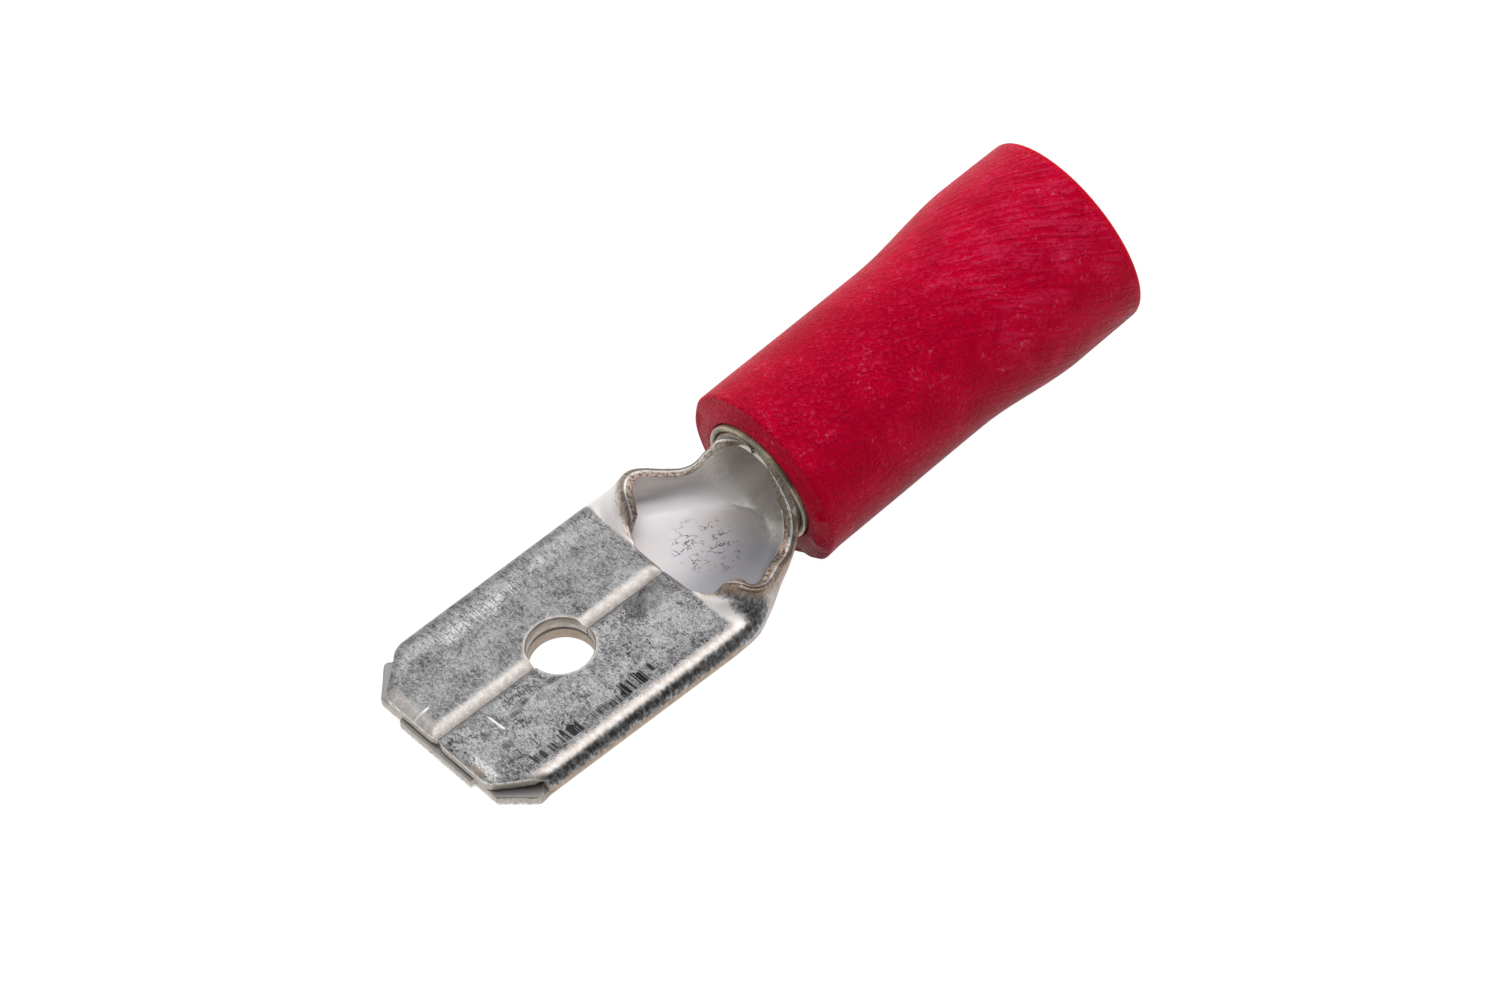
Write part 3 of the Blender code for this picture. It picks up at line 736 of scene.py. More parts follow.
def settle(piece: Piece, place: Matrix, sharp_deg: float) -> None:
    """Put a piece's place into its mesh and shade it.

    Args:
        piece: The object, whose own transform is dropped.
        place: Where its mesh goes.
        sharp_deg: Edges that turn by more stay sharp.
    """
    piece.data.transform(place @ piece.matrix_world)
    piece.matrix_world = Matrix.Identity(4)
    hold(piece)
    bpy.ops.object.shade_smooth_by_angle(angle=math.radians(sharp_deg))


@dataclass
class FoldedStrip:
    """The tin-plated strip: hemmed flat at the tab, walls at the neck, rolled tube at the barrel."""

    laid: LaidDown
    sheet: float = 0.385
    fold_gap: float = 0.03
    seam_gap: float = 0.04
    hem_eye: float = 0.04
    hem_press_run: float = 0.50
    tab_width: float = 6.30
    tip_to_hole: float = 4.20
    hole_diameter: float = 1.79
    flap_rear: float = 3.50
    tongue_width: float = 2.74
    tongue_proud: float = 0.135
    tongue_step: float = 0.06
    corner_width: float = 0.88
    corner_deg: float = 46.0
    uncurl_run: float = 0.30
    hem_setback: float = 1.15
    setback_deg: float = 58.0
    hem_shoulder: float = 0.28
    shoulder_deg: float = 130.0
    flap_proud: float = 0.05
    flap_corner: float = 0.66
    corner_blend: float = 0.20
    seam_roll: Pair = (0.42, 0.15)
    end_roll: Pair = (0.35, 0.08)
    edge_round: float = 0.045
    rim_round: float = 0.13
    neck_length: float = 3.30
    rear_cut: float = 1.08
    rim_run: float = 0.40
    rim_rear: float = 1.0
    inner_round: float = 0.6
    right_roll: Pair = (0.45, 0.80)
    right_lag: float = 0.08
    lag_run: float = 0.4
    right_rim_drop: float = 0.26
    drop_rise: Pair = (0.10, 0.20)
    drop_fall: Pair = (0.42, 0.26)
    neck_round: float = 0.12
    round_span: Pair = (0.12, 0.50)
    round_ease: float = 0.24
    round_limit: float = 2.4
    trough_ease: int = 260
    ease_margin: Pair = (0.08, 0.50)
    ease_ends: Pair = (0.12, 0.20)
    facet_width: float = 0.78
    waist: float = 2.34
    mouth_shoulder: float = 2.50
    mouth_share: float = 0.9
    mouth_run: float = 0.44
    bore: float = 2.40
    barrel_length: float = 6.20
    barrel_seam_gap: float = 0.06
    floor_share: float = 0.22
    bend_share: float = 0.80
    near_edge: tuple[float, ...] = (0.0, 0.012, 0.035, 0.08, 0.16, 0.28)
    seam_columns: tuple[float, ...] = (0.34, 0.26, 0.19, 0.13)
    tip_rows: tuple[float, ...] = (0.0, 0.012, 0.035, 0.08, 0.14, 0.22, 0.32)
    rear_rows: tuple[float, ...] = (0.27, 0.20, 0.14, 0.08, 0.035, 0.012, 0.0)
    mouth_rows: tuple[float, ...] = (0.0, 0.012, 0.035, 0.08, 0.2)
    spread_end: float = -1.9
    fold_table: Table = (
        (-0.10, 0.00, 0.00, 180.0, 180.0),
        (0.00, 0.01, 0.01, 180.0, 180.0),
        (0.03, 0.01, 0.01, 170.0, 189.0),
        (0.085, 0.02, 0.02, 152.0, 200.0),
        (0.115, 0.03, 0.03, 143.0, 165.0),
        (0.155, 0.04, 0.04, 134.0, 134.0),
        (0.21, 0.07, 0.07, 124.0, 124.0),
        (0.28, 0.12, 0.12, 117.0, 117.0),
        (0.39, 0.22, 0.22, 107.0, 107.0),
        (0.50, 0.35, 0.33, 97.0, 97.0),
        (0.60, 0.47, 0.45, 92.0, 92.0),
        (0.74, 0.62, 0.61, 95.0, 95.0),
        (0.86, 0.75, 0.78, 118.0, 118.0),
        (0.94, 0.85, 0.90, 152.0, 152.0),
        (1.01, 1.00, 1.00, 180.0, 180.0),
    )
    rim_table: Table = (
        (0.00, 1.00), (0.085, 0.88), (0.12, 0.80), (0.155, 0.775), (0.21, 0.75), (0.28, 0.695), (0.39, 0.555),
        (0.50, 0.395), (0.60, 0.245), (0.68, 0.14), (0.76, 0.05), (0.84, 0.00), (0.90, 0.00), (1.00, 0.03),
    )
    hole_flare: float = 0.045
    flare_height: float = 1.6
    flare_spread: float = 1.2
    punch_length: float = 2.0
    punch_head: float = 0.6
    punch_sides: int = 128
    punch_turn_deg: float = 1.1
    rows: list[tuple[float, str]] = field(default_factory=list)
    columns: list[float] = field(default_factory=list)

    def __post_init__(self) -> None:
        """Work out the sizes that follow from the others."""
        self.mid = self.sheet / 2
        self.tab_half = self.tab_width / 2
        self.base_mid = -(self.sheet + self.fold_gap) / 2 - self.hem_eye / 3
        self.hem_radius = self.hem_eye + self.mid
        self.hem_arc = math.pi * self.hem_radius
        self.hem_press = 2 * self.hem_eye - self.fold_gap
        self.base_flat = self.tab_half - self.mid - self.hem_radius
        self.half_blank = 2 * self.base_flat + self.hem_arc - self.seam_gap / 2
        self.barrel_radius = self.bore / 2 + self.mid
        self.barrel_outer = self.bore / 2 + self.sheet
        self.barrel_blank = math.pi * self.barrel_radius - self.barrel_seam_gap / 2
        self.hem_front = self.hem_setback - self.tip_to_hole
        self.barrel_start = self.flap_rear + self.neck_length
        self.barrel_end = self.barrel_start + self.barrel_length
        self.cut_arc = self.half_blank - self.rear_cut
        self.flap_start = self.base_flat + self.hem_arc
        self.lay_out()
        half = [self.front_at(column) for column in self.columns]
        self.columns_front = np.array(half[:0:-1] + half)
        self.finishes = {
            Slot.OUTER: WornTin().material(),
            Slot.INNER: CleanTin().material(),
            Slot.SHEARED: ShearedEdge().material(),
            Slot.PUNCHED: PunchedWall(*self.laid.height_axis()).material(),
        }

    def neck_share(self, x: float) -> float:
        """How far x is along the neck."""
        return (x - self.flap_rear) / self.neck_length

    def section(self, x: float) -> tuple[float, ...]:
        """Flat half-width, bend radius, wall angle, rim angle and floor height of the fold at x."""
        share = self.neck_share(x)
        width, curve, angle, rim_angle = (read_table(self.fold_table, share, column) for column in range(1, 5))
        outer = mix(self.tab_half, self.barrel_outer, width)
        radius = mix(self.hem_radius, self.barrel_radius, curve) + self.rounder(share)
        floor = mix(self.base_mid, self.laid.axis_height - self.barrel_radius, smooth(share))
        return max(outer - self.mid - radius, 0.0), radius, math.radians(angle), math.radians(rim_angle), floor

    def rounder(self, share: float) -> float:
        """How much softer than the solids' the bend is in the middle of the neck."""
        grown, gone = (smooth((share - start) / self.round_ease) for start in self.round_span)
        return self.neck_round * grown * (1 - gone)

    def lag(self, x: float, arc: float) -> float:
        """How far the right-hand flap's rear is set back."""
        if arc >= 0:
            return 0.0
        share = self.neck_share(x)
        along = smooth(1 + 4 * share) if share < 0 else 1 - smooth(share / self.lag_run)
        across = clamp((self.half_blank - abs(arc)) / self.rear_cut) * smooth(abs(arc) / self.tab_half)
        return self.right_lag * along * across

    def fold(self, x: float, arc: float, offset: float) -> Vector:
        """Where the strip goes when it is folded.

        Args:
            x: Place along the terminal.
            arc: Arc length from the blank's centre line.
            offset: Distance from the middle of the sheet, towards its outer face.

        Returns:
            The place in the terminal's own frame.
        """
        flat, radius, angle, rim_angle, floor = self.section(x)
        side = math.copysign(1, arc)
        reach = abs(arc)
        if reach <= flat:
            y, z = reach, floor - offset
        else:
            turned = min((reach - flat) / radius, angle)
            wall = max(reach - flat - radius * angle, 0.0)
            facet = min(wall, self.facet_width)
            closing = smooth((angle - math.pi / 2) * 2 / math.pi)
            pressed = self.hem_press * smooth(wall / self.hem_press_run) * closing
            y = flat + (radius + offset) * math.sin(turned)
            y += facet * math.cos(angle) + (wall - facet) * math.cos(rim_angle)
            z = floor + radius - (radius + offset) * math.cos(turned) - pressed
            z += facet * math.sin(angle) + (wall - facet) * math.sin(rim_angle)
            if turned < math.radians(self.setback_deg) + 0.01:
                flattened = smooth((self.hem_front - x) / self.uncurl_run)
                y = mix(y, flat + (radius + self.mid) * math.sin(turned), flattened)
                z = mix(z, floor - offset, flattened)
        spine = self.laid.spine(x, self.neck_share(x))
        return spine @ Vector((self.lag(x, arc), side * y, z))

    def turned(self, x: float, arc: float) -> float:
        """How far the sheet has turned up at a place on the blank, where 1 is half a turn."""
        flat, radius, angle, _, _ = self.section(x)
        return clamp((abs(arc) - flat) / radius, 0.0, angle) / math.pi

    def on_hem(self, turned_deg: float) -> float:
        """Arc length at which the hem has turned so far."""
        return self.base_flat + self.hem_radius * math.radians(turned_deg)

    def outline(self) -> Profile:
        """The blank's front edge as points of arc length and x, from the centre line to the flap's edge."""
        front = -self.tip_to_hole
        corner = self.tab_half - self.corner_width
        run = self.base_flat - corner
        reach = run + (self.hem_radius + self.mid) * math.sin(math.radians(self.corner_deg))
        flap_front = front - self.flap_proud
        flap_corner = self.flap_start + self.flap_corner
        return [
            (0.0, front - self.tongue_proud),
            (self.tongue_width / 2, front - self.tongue_proud),
            (self.tongue_width / 2 + self.tongue_step, front),
            (corner, front),
            (self.base_flat, front + run),
            (self.on_hem(self.corner_deg), front + reach),
            (self.on_hem(self.setback_deg), self.hem_front),
            (self.on_hem(self.shoulder_deg), self.hem_front),
            (self.flap_start, self.hem_front - self.hem_shoulder),
            (flap_corner, flap_front + self.corner_blend / 2),
            (flap_corner + self.corner_blend, flap_front),
            (self.half_blank - self.seam_roll[0] / 2, flap_front),
            (self.half_blank, flap_front + self.end_roll[1]),
        ]

    def front_at(self, arc: float) -> float:
        """Where the blank's front edge is at an arc length."""
        points = self.outline()
        for (start, x_start), (end, x_end) in zip(points, points[1:]):
            if arc <= end:
                return mix(x_start, x_end, (arc - start) / (end - start))
        return points[-1][1]

    def lay_out(self) -> None:
        """Space the rows and columns of the blank's grid, closer at edges and bends."""
        marks = [arc for arc, _ in self.outline()]
        near = self.near_edge

        def runs(*counts: tuple[int, int]) -> list[float]:
            """Even steps up to each mark, by the mark's number and how many steps it takes."""
            return [arc for mark, count in counts for arc in steps(marks[mark - 1], marks[mark], count)]

        floor = runs((1, 8)) + [marks[2]] + runs((3, 5), (4, 4))
        bend = runs((5, 4), (6, 2), (7, 8), (8, 6))
        wall = runs((9, 6), (10, 3)) + steps(marks[10], self.cut_arc - near[-1], 5)
        wall += [self.cut_arc - gap for gap in reversed(near[:-1])]
        self.shared = 1 + len(floor) + len(bend) + len(wall)
        seam = steps(self.cut_arc, self.half_blank - self.seam_roll[0], 5)
        seam += [self.half_blank - gap for gap in (*self.seam_columns, *reversed(near[:-2]))]
        self.columns = [0.0] + floor + bend + wall + seam
        rear = [self.flap_rear - gap for gap in self.rear_rows]
        mouth = [self.barrel_start + gap for gap in (*self.mouth_rows, self.mouth_run)]
        parts = (
            ("tip", self.tip_rows),
            ("spread", steps(0.0, 1.0, 12)),
            ("tab", steps(self.spread_end, self.flap_rear - 0.35, 36) + rear),
            ("neck", [self.flap_rear + self.neck_length * share for share in steps(0.0, 0.985, 52)]),
            ("barrel", mouth + steps(mouth[-1], self.barrel_end, 8)),
        )
        self.rows = [(station, part) for part, stations in parts for station in stations]

    def arcs_at(self, x: float, side: int) -> list[float]:
        """Arc lengths of one side's columns at x, so that the same ones stay on the floor, bend and wall."""
        flat, radius, angle, _, _ = self.section(x)
        share = self.neck_share(x)
        rim = self.rim_at(x, side)
        floor_end = max(flat, rim * self.floor_share)
        bend_end = min(flat + radius * angle, rim * self.bend_share)
        arcs = []
        for column in self.columns[: self.shared]:
            if column <= self.base_flat:
                arcs.append(floor_end * column / self.base_flat)
            elif column <= self.flap_start:
                arcs.append(mix(floor_end, bend_end, (column - self.base_flat) / self.hem_arc))
            else:
                wall = (column - self.flap_start) / (self.cut_arc - self.flap_start)
                arcs.append(mix(bend_end, rim, wall))
        last = self.columns[self.shared :]
        if share <= 0:
            return arcs + last
        return arcs + [mix(rim, self.barrel_blank, (i + 1) / len(last)) for i in range(len(last))]

    def rim_at(self, x: float, side: int) -> float:
        """Arc length at which the neck's wall is cut off at x; the right-hand one was cut a little lower."""
        share = self.neck_share(x)
        rim = self.waist + (self.cut_arc - self.waist) * read_table(self.rim_table, share, 1)
        if share > self.mouth_share:
            rim = mix(rim, self.mouth_shoulder, smooth((share - self.mouth_share) * 10))
        risen, fallen = (smooth((share - start) / run) for start, run in (self.drop_rise, self.drop_fall))
        drop = risen * (1 - fallen) if side < 0 else 0.0
        turned = min(math.radians(read_table(self.fold_table, share, 3)), self.round_limit)
        cut_corner = self.rounder(share) * (2 * math.tan(turned / 2) - turned)
        return rim - self.right_rim_drop * drop - cut_corner

    def stations(self) -> tuple[Array, Array, Array]:
        """Where every grid point lies on the blank.

        Returns:
            For each row and column: x, arc length, and how far it is from the nearest cut edge.
        """
        half = len(self.columns) - 1
        shape = (len(self.rows), 2 * half + 1)
        xs, arcs, margins = (np.zeros(shape) for _ in range(3))
        for i, (station, part) in enumerate(self.rows):
            at = -self.tip_to_hole if part in ("tip", "spread") else station
            lines = {side: self.arcs_at(at, side) for side in (-1, 1)}
            for j in range(-half, half + 1):
                side = -1 if j < 0 else 1
                arc, front = lines[side][abs(j)], self.front_at(self.columns[abs(j)])
                x = station
                if part == "tip":
                    x = front + station
                elif part == "spread":
                    x = mix(front + self.tip_rows[-1], self.spread_end, station)
                margin = x - front
                if abs(j) >= self.shared - 1 and part in ("tip", "spread", "tab"):
                    margin = min(margin, self.half_blank - arc, self.flap_rear - x)
                elif part == "neck":
                    margin = min(margin, self.rim_at(x, side) - arc)
                elif part == "barrel":
                    margin = min(self.barrel_blank - arc, self.barrel_end - x)
                    margin = min(margin, x - self.barrel_start) if abs(j) >= self.shared - 1 else margin
                xs[i, j + half], arcs[i, j + half], margins[i, j + half] = x, math.copysign(arc, j), margin
        return xs, arcs, margins

    def roll_at(self, x: float, arc: float, front: float) -> float:
        """How far the outer face is rolled in near the flap's edges."""
        if x > self.flap_rear:
            return 0.0
        reach = abs(arc)
        width, depth = self.end_roll
        along = min(x - front, self.flap_rear - x if reach > self.cut_arc else self.neck_length)
        end = clamp(1 - along / width) ** 2 * depth
        width, depth = self.seam_roll
        if arc < 0:
            width, depth = width * self.right_roll[0], depth * self.right_roll[1]
        seam = clamp(1 - (self.half_blank - reach) / width) ** 2 * depth
        return max(end, seam)

    def build(self) -> Piece:
        """Fold the strip from a flat grid, give it its thickness and punch its hole."""
        xs, arcs, margins = self.stations()
        rows, columns = xs.shape
        deselect()
        bpy.ops.mesh.primitive_grid_add(x_subdivisions=rows - 1, y_subdivisions=columns - 1, size=2)
        strip = bpy.context.object
        strip.name = "folded_strip"
        flat = np.array([vert.co[:2] for vert in strip.data.vertices])
        row = np.rint((flat[:, 0] + 1) / 2 * (rows - 1)).astype(int)
        column = np.rint((1 - flat[:, 1]) / 2 * (columns - 1)).astype(int)
        kept = self.trim(strip, row, column)
        row, column = row[kept], column[kept]
        xs, arcs, margins = xs[row, column], arcs[row, column], margins[row, column]
        for vert, x, arc in zip(strip.data.vertices, xs, arcs):
            vert.co = self.fold(x, arc, self.mid)
        for slot in Slot:
            strip.data.materials.append(self.finishes[slot])
        self.thicken(strip)
        self.roll_edges(strip, xs, arcs, margins, self.columns_front[column])
        self.ease_trough(strip, row, column, margins)
        self.map_blank(strip, xs, arcs, margins)
        self.punch(strip)
        settle(strip, self.laid.matrix(), sharp_deg=38)
        return strip

    def in_neck(self, row: Array) -> Array:
        """Which of some rows are the neck's."""
        return np.array([part == "neck" for _, part in self.rows])[row]

    def trim(self, strip: Piece, row: Array, column: Array) -> Array:
        """Cut the two windows beside the neck out of the flat grid.

        Args:
            strip: The grid.
            row: Each point's row.
            column: Each point's column, from 0 at the right-hand flap's edge.

        Returns:
            Which of the points are left.
        """
        gone = self.in_neck(row) & (np.abs(column - (len(self.columns) - 1)) >= self.shared)
        hold(strip)
        with editing("VERT"):
            bpy.ops.mesh.select_all(action="DESELECT")
        strip.data.vertices.foreach_set("select", gone)
        with editing("VERT"):
            bpy.ops.mesh.delete(type="VERT")
        return ~gone

    def thicken(self, strip: Piece) -> None:
        """Give the folded face the sheet's thickness, and its inner face and cut edge their own slots."""
        solid = strip.modifiers.new("sheet", "SOLIDIFY")
        solid.thickness = self.sheet
        solid.offset = -1.0
        solid.material_offset = Slot.INNER.value
        solid.material_offset_rim = Slot.SHEARED.value
        apply_modifiers(strip)

    def roll_edges(self, strip: Piece, xs: Array, arcs: Array, margins: Array, fronts: Array) -> None:
        """Move both faces in near the cut edges, more where the flaps' edges were rolled in the press."""
        count = len(xs)
        places = places_of(strip)
        outer, inner = places[:count].copy(), places[count:].copy()
        for i in np.flatnonzero(xs <= self.flap_rear):
            inner[i] = self.fold(xs[i], arcs[i], -self.mid)
        inward = (inner - outer) / self.sheet
        along = np.clip((xs - self.flap_rear) / self.rim_run, 0, 1) * (xs < self.barrel_end - self.rim_rear)
        radius = self.edge_round + (self.rim_round - self.edge_round) * along
        gap = np.clip(radius - margins, 0, radius)
        rounding = radius - np.sqrt(radius**2 - gap**2)
        rolls = [self.roll_at(x, arc, front) for x, arc, front in zip(xs, arcs, fronts)]
        places[:count] = outer + inward * np.maximum(rounding, rolls)[:, None]
        places[count:] = inner - inward * np.minimum(rounding, self.edge_round * self.inner_round)[:, None]
        move_points(strip, places)

    def ease_trough(self, strip: Piece, row: Array, column: Array, margins: Array) -> None:
        """Ease the bend between the trough's floor and its walls on the inner face, away from the rim."""
        count = len(row)
        index = np.full((len(self.rows), len(self.columns_front)), -1)
        index[row, column] = np.arange(count)
        places = places_of(strip)
        shifts = np.zeros((*index.shape, 3))
        (margin, run), (front, rear) = self.ease_margin, self.ease_ends
        for i, (station, part) in enumerate(self.rows):
            if part != "neck":
                continue
            share = self.neck_share(station)
            line = index[i][index[i] >= 0]
            eased = places[count + line]
            for _ in range(self.trough_ease):
                eased[1:-1] = eased[1:-1] * 0.5 + (eased[:-2] + eased[2:]) * 0.25
            inside = np.clip((margins[line] - margin) / run, 0, 1)
            weight = inside * smooth(share / front) * smooth((1 - share) / rear)
            shifts[i][index[i] >= 0] = (eased - places[count + line]) * weight[:, None]
        for _ in range(self.trough_ease // 8):
            shifts[1:-1] = shifts[1:-1] * 0.5 + (shifts[:-2] + shifts[2:]) * 0.25
        in_neck = self.in_neck(row)
        places[count:][in_neck] += shifts[row, column][in_neck]
        move_points(strip, places)

    def map_blank(self, strip: Piece, xs: Array, arcs: Array, margins: Array) -> None:
        """Give every corner its place on the flat blank, so that patterns follow the strip round its folds.

        A second map holds how far the sheet has turned there, where 1 is half a turn, and the depth below its
        outer face, where 1 is the inner face. A third holds how far the nearest cut edge is.
        """
        strip.data.uv_layers[0].name = BLANK_MAP
        index = np.zeros(len(strip.data.loops), int)
        strip.data.loops.foreach_get("vertex_index", index)
        depth = (index >= len(xs)).astype(float)
        index %= len(xs)
        turns = np.array([self.turned(x, arc) for x, arc in zip(xs, arcs)])
        maps = {BLANK_MAP: (xs, arcs[index]), BEND_MAP: (turns, depth), EDGE_MAP: (margins, depth)}
        for name, (first, second) in maps.items():
            layer = strip.data.uv_layers.get(name) or strip.data.uv_layers.new(name=name)
            layer.data.foreach_set("uv", np.stack([first[index], second], 1).ravel())

    def punch(self, strip: Piece) -> None:
        """Punch the hole through both layers, with the upper layer's rim drawn in a little."""
        radius = self.hole_diameter / 2
        top = self.base_mid + self.mid + self.fold_gap + self.sheet
        deselect()
        off_grid = (0.0, 0.0, math.radians(self.punch_turn_deg))
        bpy.ops.mesh.primitive_cylinder_add(
            vertices=self.punch_sides, radius=radius, depth=self.punch_length, rotation=off_grid
        )
        cutter = bpy.context.object
        cutter.name = "punch"
        with editing("FACE"):
            bpy.ops.mesh.select_all(action="DESELECT")
        for face in cutter.data.polygons:
            face.select = face.normal.z > 0.9
        with editing("FACE"):
            bpy.ops.transform.translate(value=(0, 0, top - self.hole_flare - self.punch_length / 2))
            lift(self.hole_flare * self.flare_height)
            bpy.ops.transform.resize(value=(1 + self.hole_flare * self.flare_spread / radius,) * 2 + (1,))
            lift(self.punch_head)
        for slot in Slot:
            cutter.data.materials.append(self.finishes[slot])
        cutter.data.polygons.foreach_set("material_index", [Slot.PUNCHED.value] * len(cutter.data.polygons))
        hole = strip.modifiers.new("hole", "BOOLEAN")
        hole.operation = "DIFFERENCE"
        hole.solver = "EXACT"
        hole.object = cutter
        apply_modifiers(strip)
        bpy.data.objects.remove(cutter, do_unlink=True)


@dataclass
class TurnedPiece:
    """A piece that is turned round the barrel's axis. Sizes in millimetres."""

    laid: LaidDown
    segments: int = 160

    def turn(self, name: str, profile: Profile) -> Piece:
        """Turn a closed profile: a circle is extruded and widened from station to station.

        Args:
            name: The piece's name.
            profile: Points of radius and height, which run down its outer side and back up its bore.

        Returns:
            The piece, upright on the origin, with its surface closed.
        """
        deselect()
        radius, height = profile[0]
        bpy.ops.mesh.primitive_circle_add(vertices=self.segments, radius=radius, location=(0, 0, height))
        piece = bpy.context.object
        piece.name = name
        bpy.ops.object.transform_apply()
        with editing("VERT"):
            bpy.ops.mesh.select_all(action="SELECT")
            for (before, low), (after, high) in zip(profile, profile[1:] + profile[:1]):
                lift(high - low)
                wider = (after / before, after / before, 1)
                bpy.ops.transform.resize(value=wider, center_override=(0, 0, high))
            bpy.ops.mesh.select_all(action="SELECT")
            bpy.ops.mesh.remove_doubles(threshold=0.001)
            bpy.ops.mesh.normals_make_consistent(inside=False)
        return piece


def rounded(centre: Pair, radius: float, start_deg: float, end_deg: float) -> Profile:
    """Points of a rounded edge, from one angle to another."""
    angles = [math.radians(angle) for angle in [start_deg] + steps(start_deg, end_deg, 5)]
    return [(centre[0] + radius * math.cos(angle), centre[1] + radius * math.sin(angle)) for angle in angles]


@dataclass
class Ferrule(TurnedPiece):
    """The thin support sleeve round the barrel."""

    bore: float = 1.605
    wall: float = 0.17
    length: float = 6.31
    setback: float = 0.04
    edge: float = 0.06
    lip_wave: float = 0.02
    lip_depth: float = 0.5

    def build(self) -> Piece:
        """Turn the ferrule, with both lips rounded and its front lip a little wavy."""
        high, low, edge = self.bore + self.wall, self.bore, self.edge
        profile = [(high, self.length / 2)]
        profile += rounded((high - edge, edge), edge, 0, -90) + rounded((low + edge, edge), edge, -90, -180)
        profile += [(low, self.length / 2)]
        profile += rounded((low + edge, self.length - edge), edge, 180, 90)
        profile += rounded((high - edge, self.length - edge), edge, 90, 0)
        piece = self.turn("ferrule", profile)
        for vert in piece.data.vertices:
            at_front = smooth(1 - vert.co.z / self.lip_depth)
            angle = math.atan2(vert.co.y, vert.co.x)
            wave = noise.noise(Vector((math.cos(angle), math.sin(angle), 0)) * 4.0)
            vert.co.z += at_front * self.lip_wave * wave
        piece.data.materials.append(GoldenTin().material())
        settle(piece, self.laid.on_barrel(self.laid.barrel_start + self.setback), sharp_deg=60)
        return piece


@dataclass
class Sleeve(TurnedPiece):
    """The red insulating sleeve: straight over the ferrule, flared for the wire's own insulation."""

    segments: int = 256
    bore: float = 1.795
    setback: float = 0.26
    length: float = 10.88
    front_diameter: float = 5.22
    waist_diameter: float = 5.15
    flare_diameter: float = 5.69
    rear_diameter: float = 5.62
    flare_start: float = 5.60
    flare_length: float = 3.20
    flare_wall: float = 0.62
    edge: float = 0.10
    face_bulge: float = 0.10
    entry_edge: float = 0.15
    pocket_end: float = 6.11
    skin_wave: float = 0.012
    skin_depth: float = 0.2
    lump_depth: float = 0.1
    lump_length: float = 0.4
    face_lumps: Table = (
        (-98.0, 2.32, 0.11, 0.13, 0.02),
        (-66.0, 2.22, 0.26, 0.10, 0.02),
        (-50.0, 2.52, 0.38, 0.02, 0.05),
        (-26.0, 2.52, 0.24, -0.04, -0.03),
        (105.0, 2.45, 0.40, -0.04, 0.00),
    )

    def outer_radius(self, height: float) -> float:
        """Outer radius at a distance from the front face."""
        front, waist = self.front_diameter / 2, self.waist_diameter / 2
        flare, rear = self.flare_diameter / 2, self.rear_diameter / 2
        straight = mix(front, waist, smooth(height / self.flare_start))
        swell = (flare - waist) * smooth((height - self.flare_start) / self.flare_length)
        end = self.flare_start + self.flare_length
        return straight + swell + (rear - flare) * clamp((height - end) / (self.length - end))

    def profile(self) -> Profile:
        """Half section of the sleeve."""
        front, rear = self.outer_radius(0.0), self.outer_radius(self.length)
        flare_end = self.flare_start + self.flare_length
        entry = self.flare_diameter / 2 - self.flare_wall
        points = rounded((rear - self.edge, self.length - self.edge), self.edge, 90, 0)
        heights = steps(self.length - self.edge, self.edge, 60)[:-1]
        points += [(self.outer_radius(height), height) for height in heights]
        points += rounded((front - self.edge, self.edge), self.edge, 0, -90)
        for radius in steps(front - self.edge, self.bore + self.edge, 12):
            share = (front - self.edge - radius) / (front - 2 * self.edge - self.bore)
            points.append((radius, -self.face_bulge * smooth(share)))
        lip = self.edge / 2
        points += rounded((self.bore + lip, lip - self.face_bulge), lip, -90, -180)
        points.append((self.bore, self.pocket_end))
        for share in steps(0.0, 1.0, 12):
            points.append((mix(self.bore, entry, smooth(share)), mix(self.pocket_end, flare_end, share)))
        points.append((entry, self.length - self.entry_edge))
        points += rounded((entry + self.entry_edge, self.length - self.entry_edge), self.entry_edge, 180, 90)
        return points

    def build(self) -> Piece:
        """Turn the sleeve, then give its skin and its front edge the unevenness of a soft moulding."""
        piece = self.turn("pvc_sleeve", self.profile())
        for vert in piece.data.vertices:
            self.soften(vert)
        place = self.laid.on_barrel(self.laid.barrel_start + self.setback)
        local = tuple(tuple(row) for row in place.inverted())[:3]
        piece.data.materials.append(RedPVC(local, self.length).material())
        settle(piece, place, sharp_deg=50)
        return piece

    def soften(self, vert: bpy.types.MeshVertex) -> None:
        """Sink one point of the skin by a slow wave, and raise the moulding's lumps at the front edge."""
        radius = math.hypot(vert.co.x, vert.co.y)
        if radius < self.bore + self.lump_depth:
            return
        if vert.co.z < self.lump_length:
            for angle, middle, size, forward, outward in self.face_lumps:
                centre = Vector((math.cos(math.radians(angle)), math.sin(math.radians(angle)), 0)) * middle
                off = (vert.co - centre).length / size
                swell = math.exp(-off * off)
                vert.co.z -= forward * swell
                vert.co.x += outward * swell * vert.co.x / radius
                vert.co.y += outward * swell * vert.co.y / radius
        if radius < self.bore + self.skin_depth:
            return
        wave = noise.noise(Vector((vert.co.x, vert.co.y, vert.co.z * 0.6)) * 0.9)
        sunk = 1 - self.skin_wave * (0.5 + 0.5 * wave) / radius
        vert.co.x *= sunk
        vert.co.y *= sunk


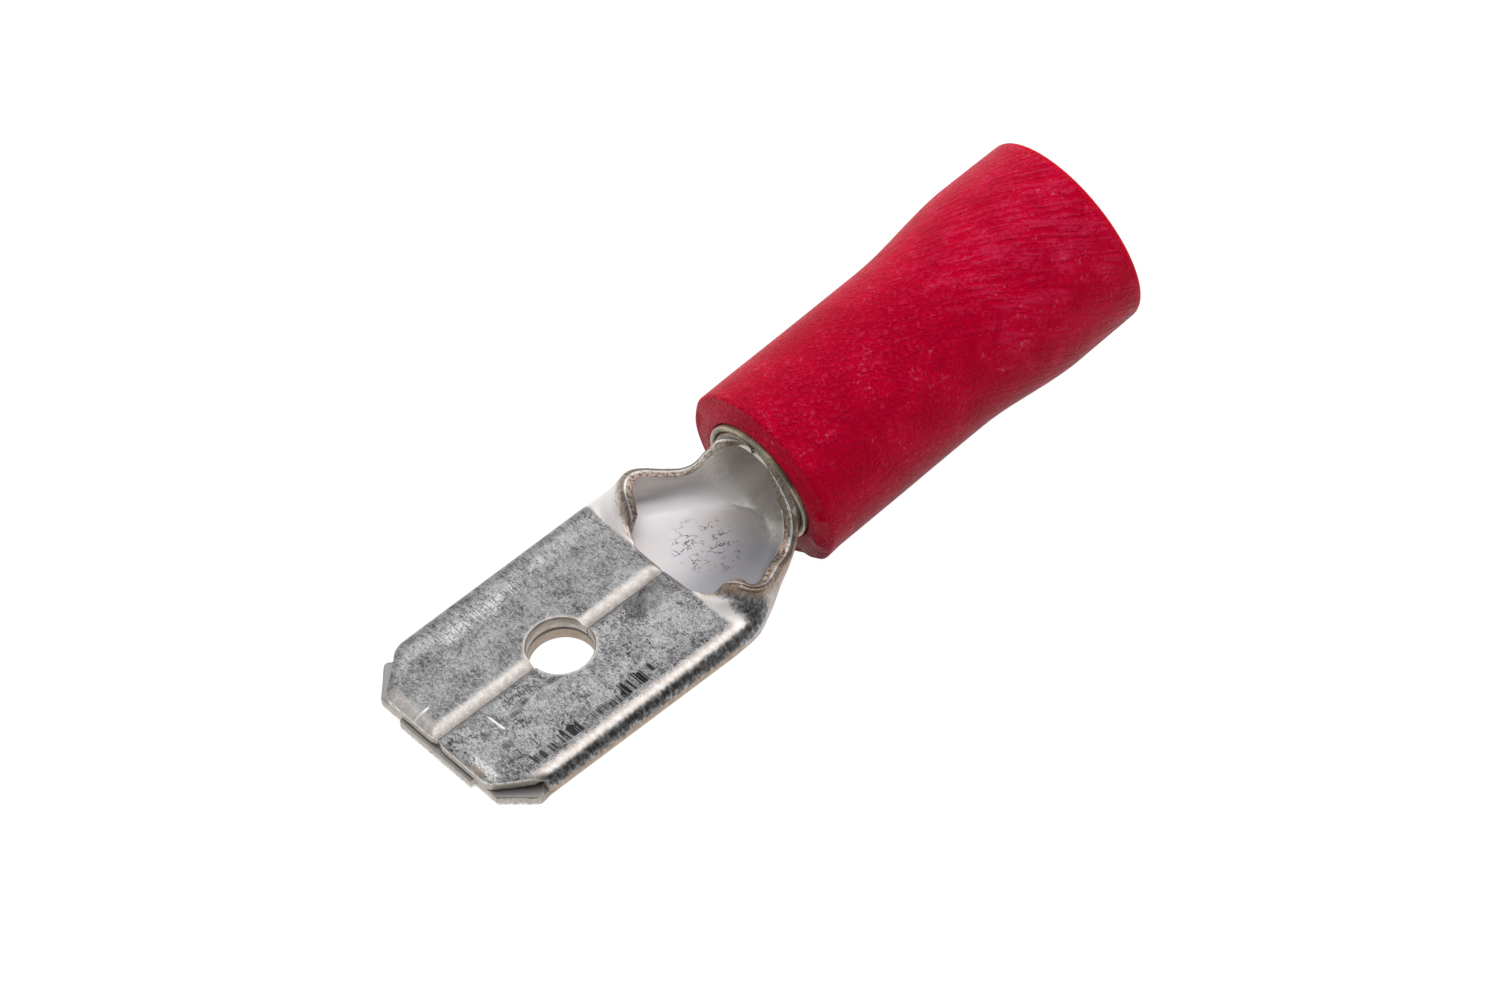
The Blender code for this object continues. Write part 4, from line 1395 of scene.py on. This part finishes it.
@dataclass
class Studio:
    """Plain pale floor, soft light and the camera at the photograph's angle."""

    lens: float = 423.09
    sensor: float = 36.0
    clip: Pair = (0.01, 10.0)
    right: Triple = (0.7517, -0.6594, -0.0074)
    up: Triple = (0.4900, 0.5510, 0.6755)
    back: Triple = (-0.4413, -0.5114, 0.7373)
    place: Triple = (-0.19996, -0.23108, 0.33529)
    overhead: Triple = (0.30, -0.03, 0.95)
    softbox_radiance: float = 1.55
    softbox_size: float = 0.15
    softbox_distance: float = 0.16
    dark_side: float = 0.14
    bright_side: float = 0.80
    bright_axis: Triple = (0.1, 0.8, 0.35)
    bright_span: Pair = (-0.45, 0.55)
    floor_size: float = 2.0
    paper: float = 0.92
    backdrop_glow: float = 1.1
    backdrop_share: float = 0.9

    def camera(self) -> None:
        """Set up the camera."""
        data = bpy.data.cameras.new("camera")
        data.lens = self.lens
        data.sensor_width = self.sensor
        data.clip_start, data.clip_end = self.clip
        camera = bpy.data.objects.new("camera", data)
        bpy.context.scene.collection.objects.link(camera)
        axes = Matrix((self.right, self.up, self.back)).transposed().to_4x4()
        camera.matrix_world = Matrix.Translation(self.place) @ axes
        bpy.context.scene.camera = camera

    def floor(self) -> None:
        """Lay the floor: white to the camera, with the object's shadow kept on it."""
        deselect()
        bpy.ops.mesh.primitive_plane_add(size=self.floor_size)
        floor = bpy.context.object
        floor.name = "floor"
        bench = Bench("floor_paper")
        seen = bench.rays("Camera").at_least(bench.rays("Glossy")).at_least(bench.rays("Transmission"))
        glow = bench.node("ShaderNodeEmission", None, {"Color": (1.0,) * 3, "Strength": self.backdrop_glow})
        matt = bench.node("ShaderNodeBsdfDiffuse", None, {"Color": (self.paper,) * 3})
        mixed = bench.node("ShaderNodeMixShader", None, {0: seen * self.backdrop_share, 1: matt, 2: glow})
        bench.tree.links.new(mixed.socket, bench.tree.nodes["Material Output"].inputs["Surface"])
        floor.data.materials.append(bench.material)

    def world(self) -> None:
        """Light the scene from all round, brighter behind and above the object than beside the camera."""
        world = bpy.data.worlds.new("studio")
        world.use_nodes = True
        bpy.context.scene.world = world
        bench = Bench.on(world)
        direction = bench.node("ShaderNodeTexCoord", output="Generated")
        share = bench.reach(direction, self.bright_axis).rise(*self.bright_span)
        level = self.dark_side + share * (self.bright_side - self.dark_side)
        camera = bench.rays("Camera")
        backdrop = bench.tree.nodes["Background"]
        backdrop.inputs["Color"].default_value = (1.0, 1.0, 1.0, 1.0)
        bench.feed(backdrop.inputs["Strength"], camera + (1.0 - camera) * level)

    def softbox(self) -> None:
        """Hang the square softbox; its radiance is 1 where it is as bright as white paper in full light."""
        data = bpy.data.lights.new("overhead_softbox", "AREA")
        data.shape = "SQUARE"
        data.size = self.softbox_size
        data.energy = self.softbox_radiance * math.pi * self.softbox_size**2
        lamp = bpy.data.objects.new("overhead_softbox", data)
        bpy.context.scene.collection.objects.link(lamp)
        away = Vector(self.overhead).normalized()
        lamp.location = away * self.softbox_distance
        lamp.rotation_euler = away.to_track_quat("Z", "Y").to_euler()
        lamp.visible_camera = False

    def set_up(self) -> None:
        """Set up everything round the object."""
        self.camera()
        self.floor()
        self.world()
        self.softbox()
        bpy.context.scene.view_settings.view_transform = "Standard"


def report(piece: Piece) -> None:
    """Say how large a piece is."""
    piece.data.calc_loop_triangles()
    size = [round(side / MM, 2) for side in piece.dimensions]
    log.info("%s: %d triangles, %s mm", piece.name, len(piece.data.loop_triangles), size)


def main() -> None:
    """Build the terminal's pieces in order, then the studio."""
    laid = LaidDown()
    pieces = [
        (FoldedStrip(laid).build(), "terminal_body", "tinned_brass"),
        (Ferrule(laid).build(), "support_sleeve", "tinned_copper"),
        (Sleeve(laid).build(), "insulating_sleeve", "red_pvc"),
    ]
    for piece, node, slot in pieces:
        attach(piece, "root")
        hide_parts(node)
        report(piece)
    Studio().set_up()


if __name__ == "__main__":
    logging.basicConfig(level=logging.INFO)
    main()
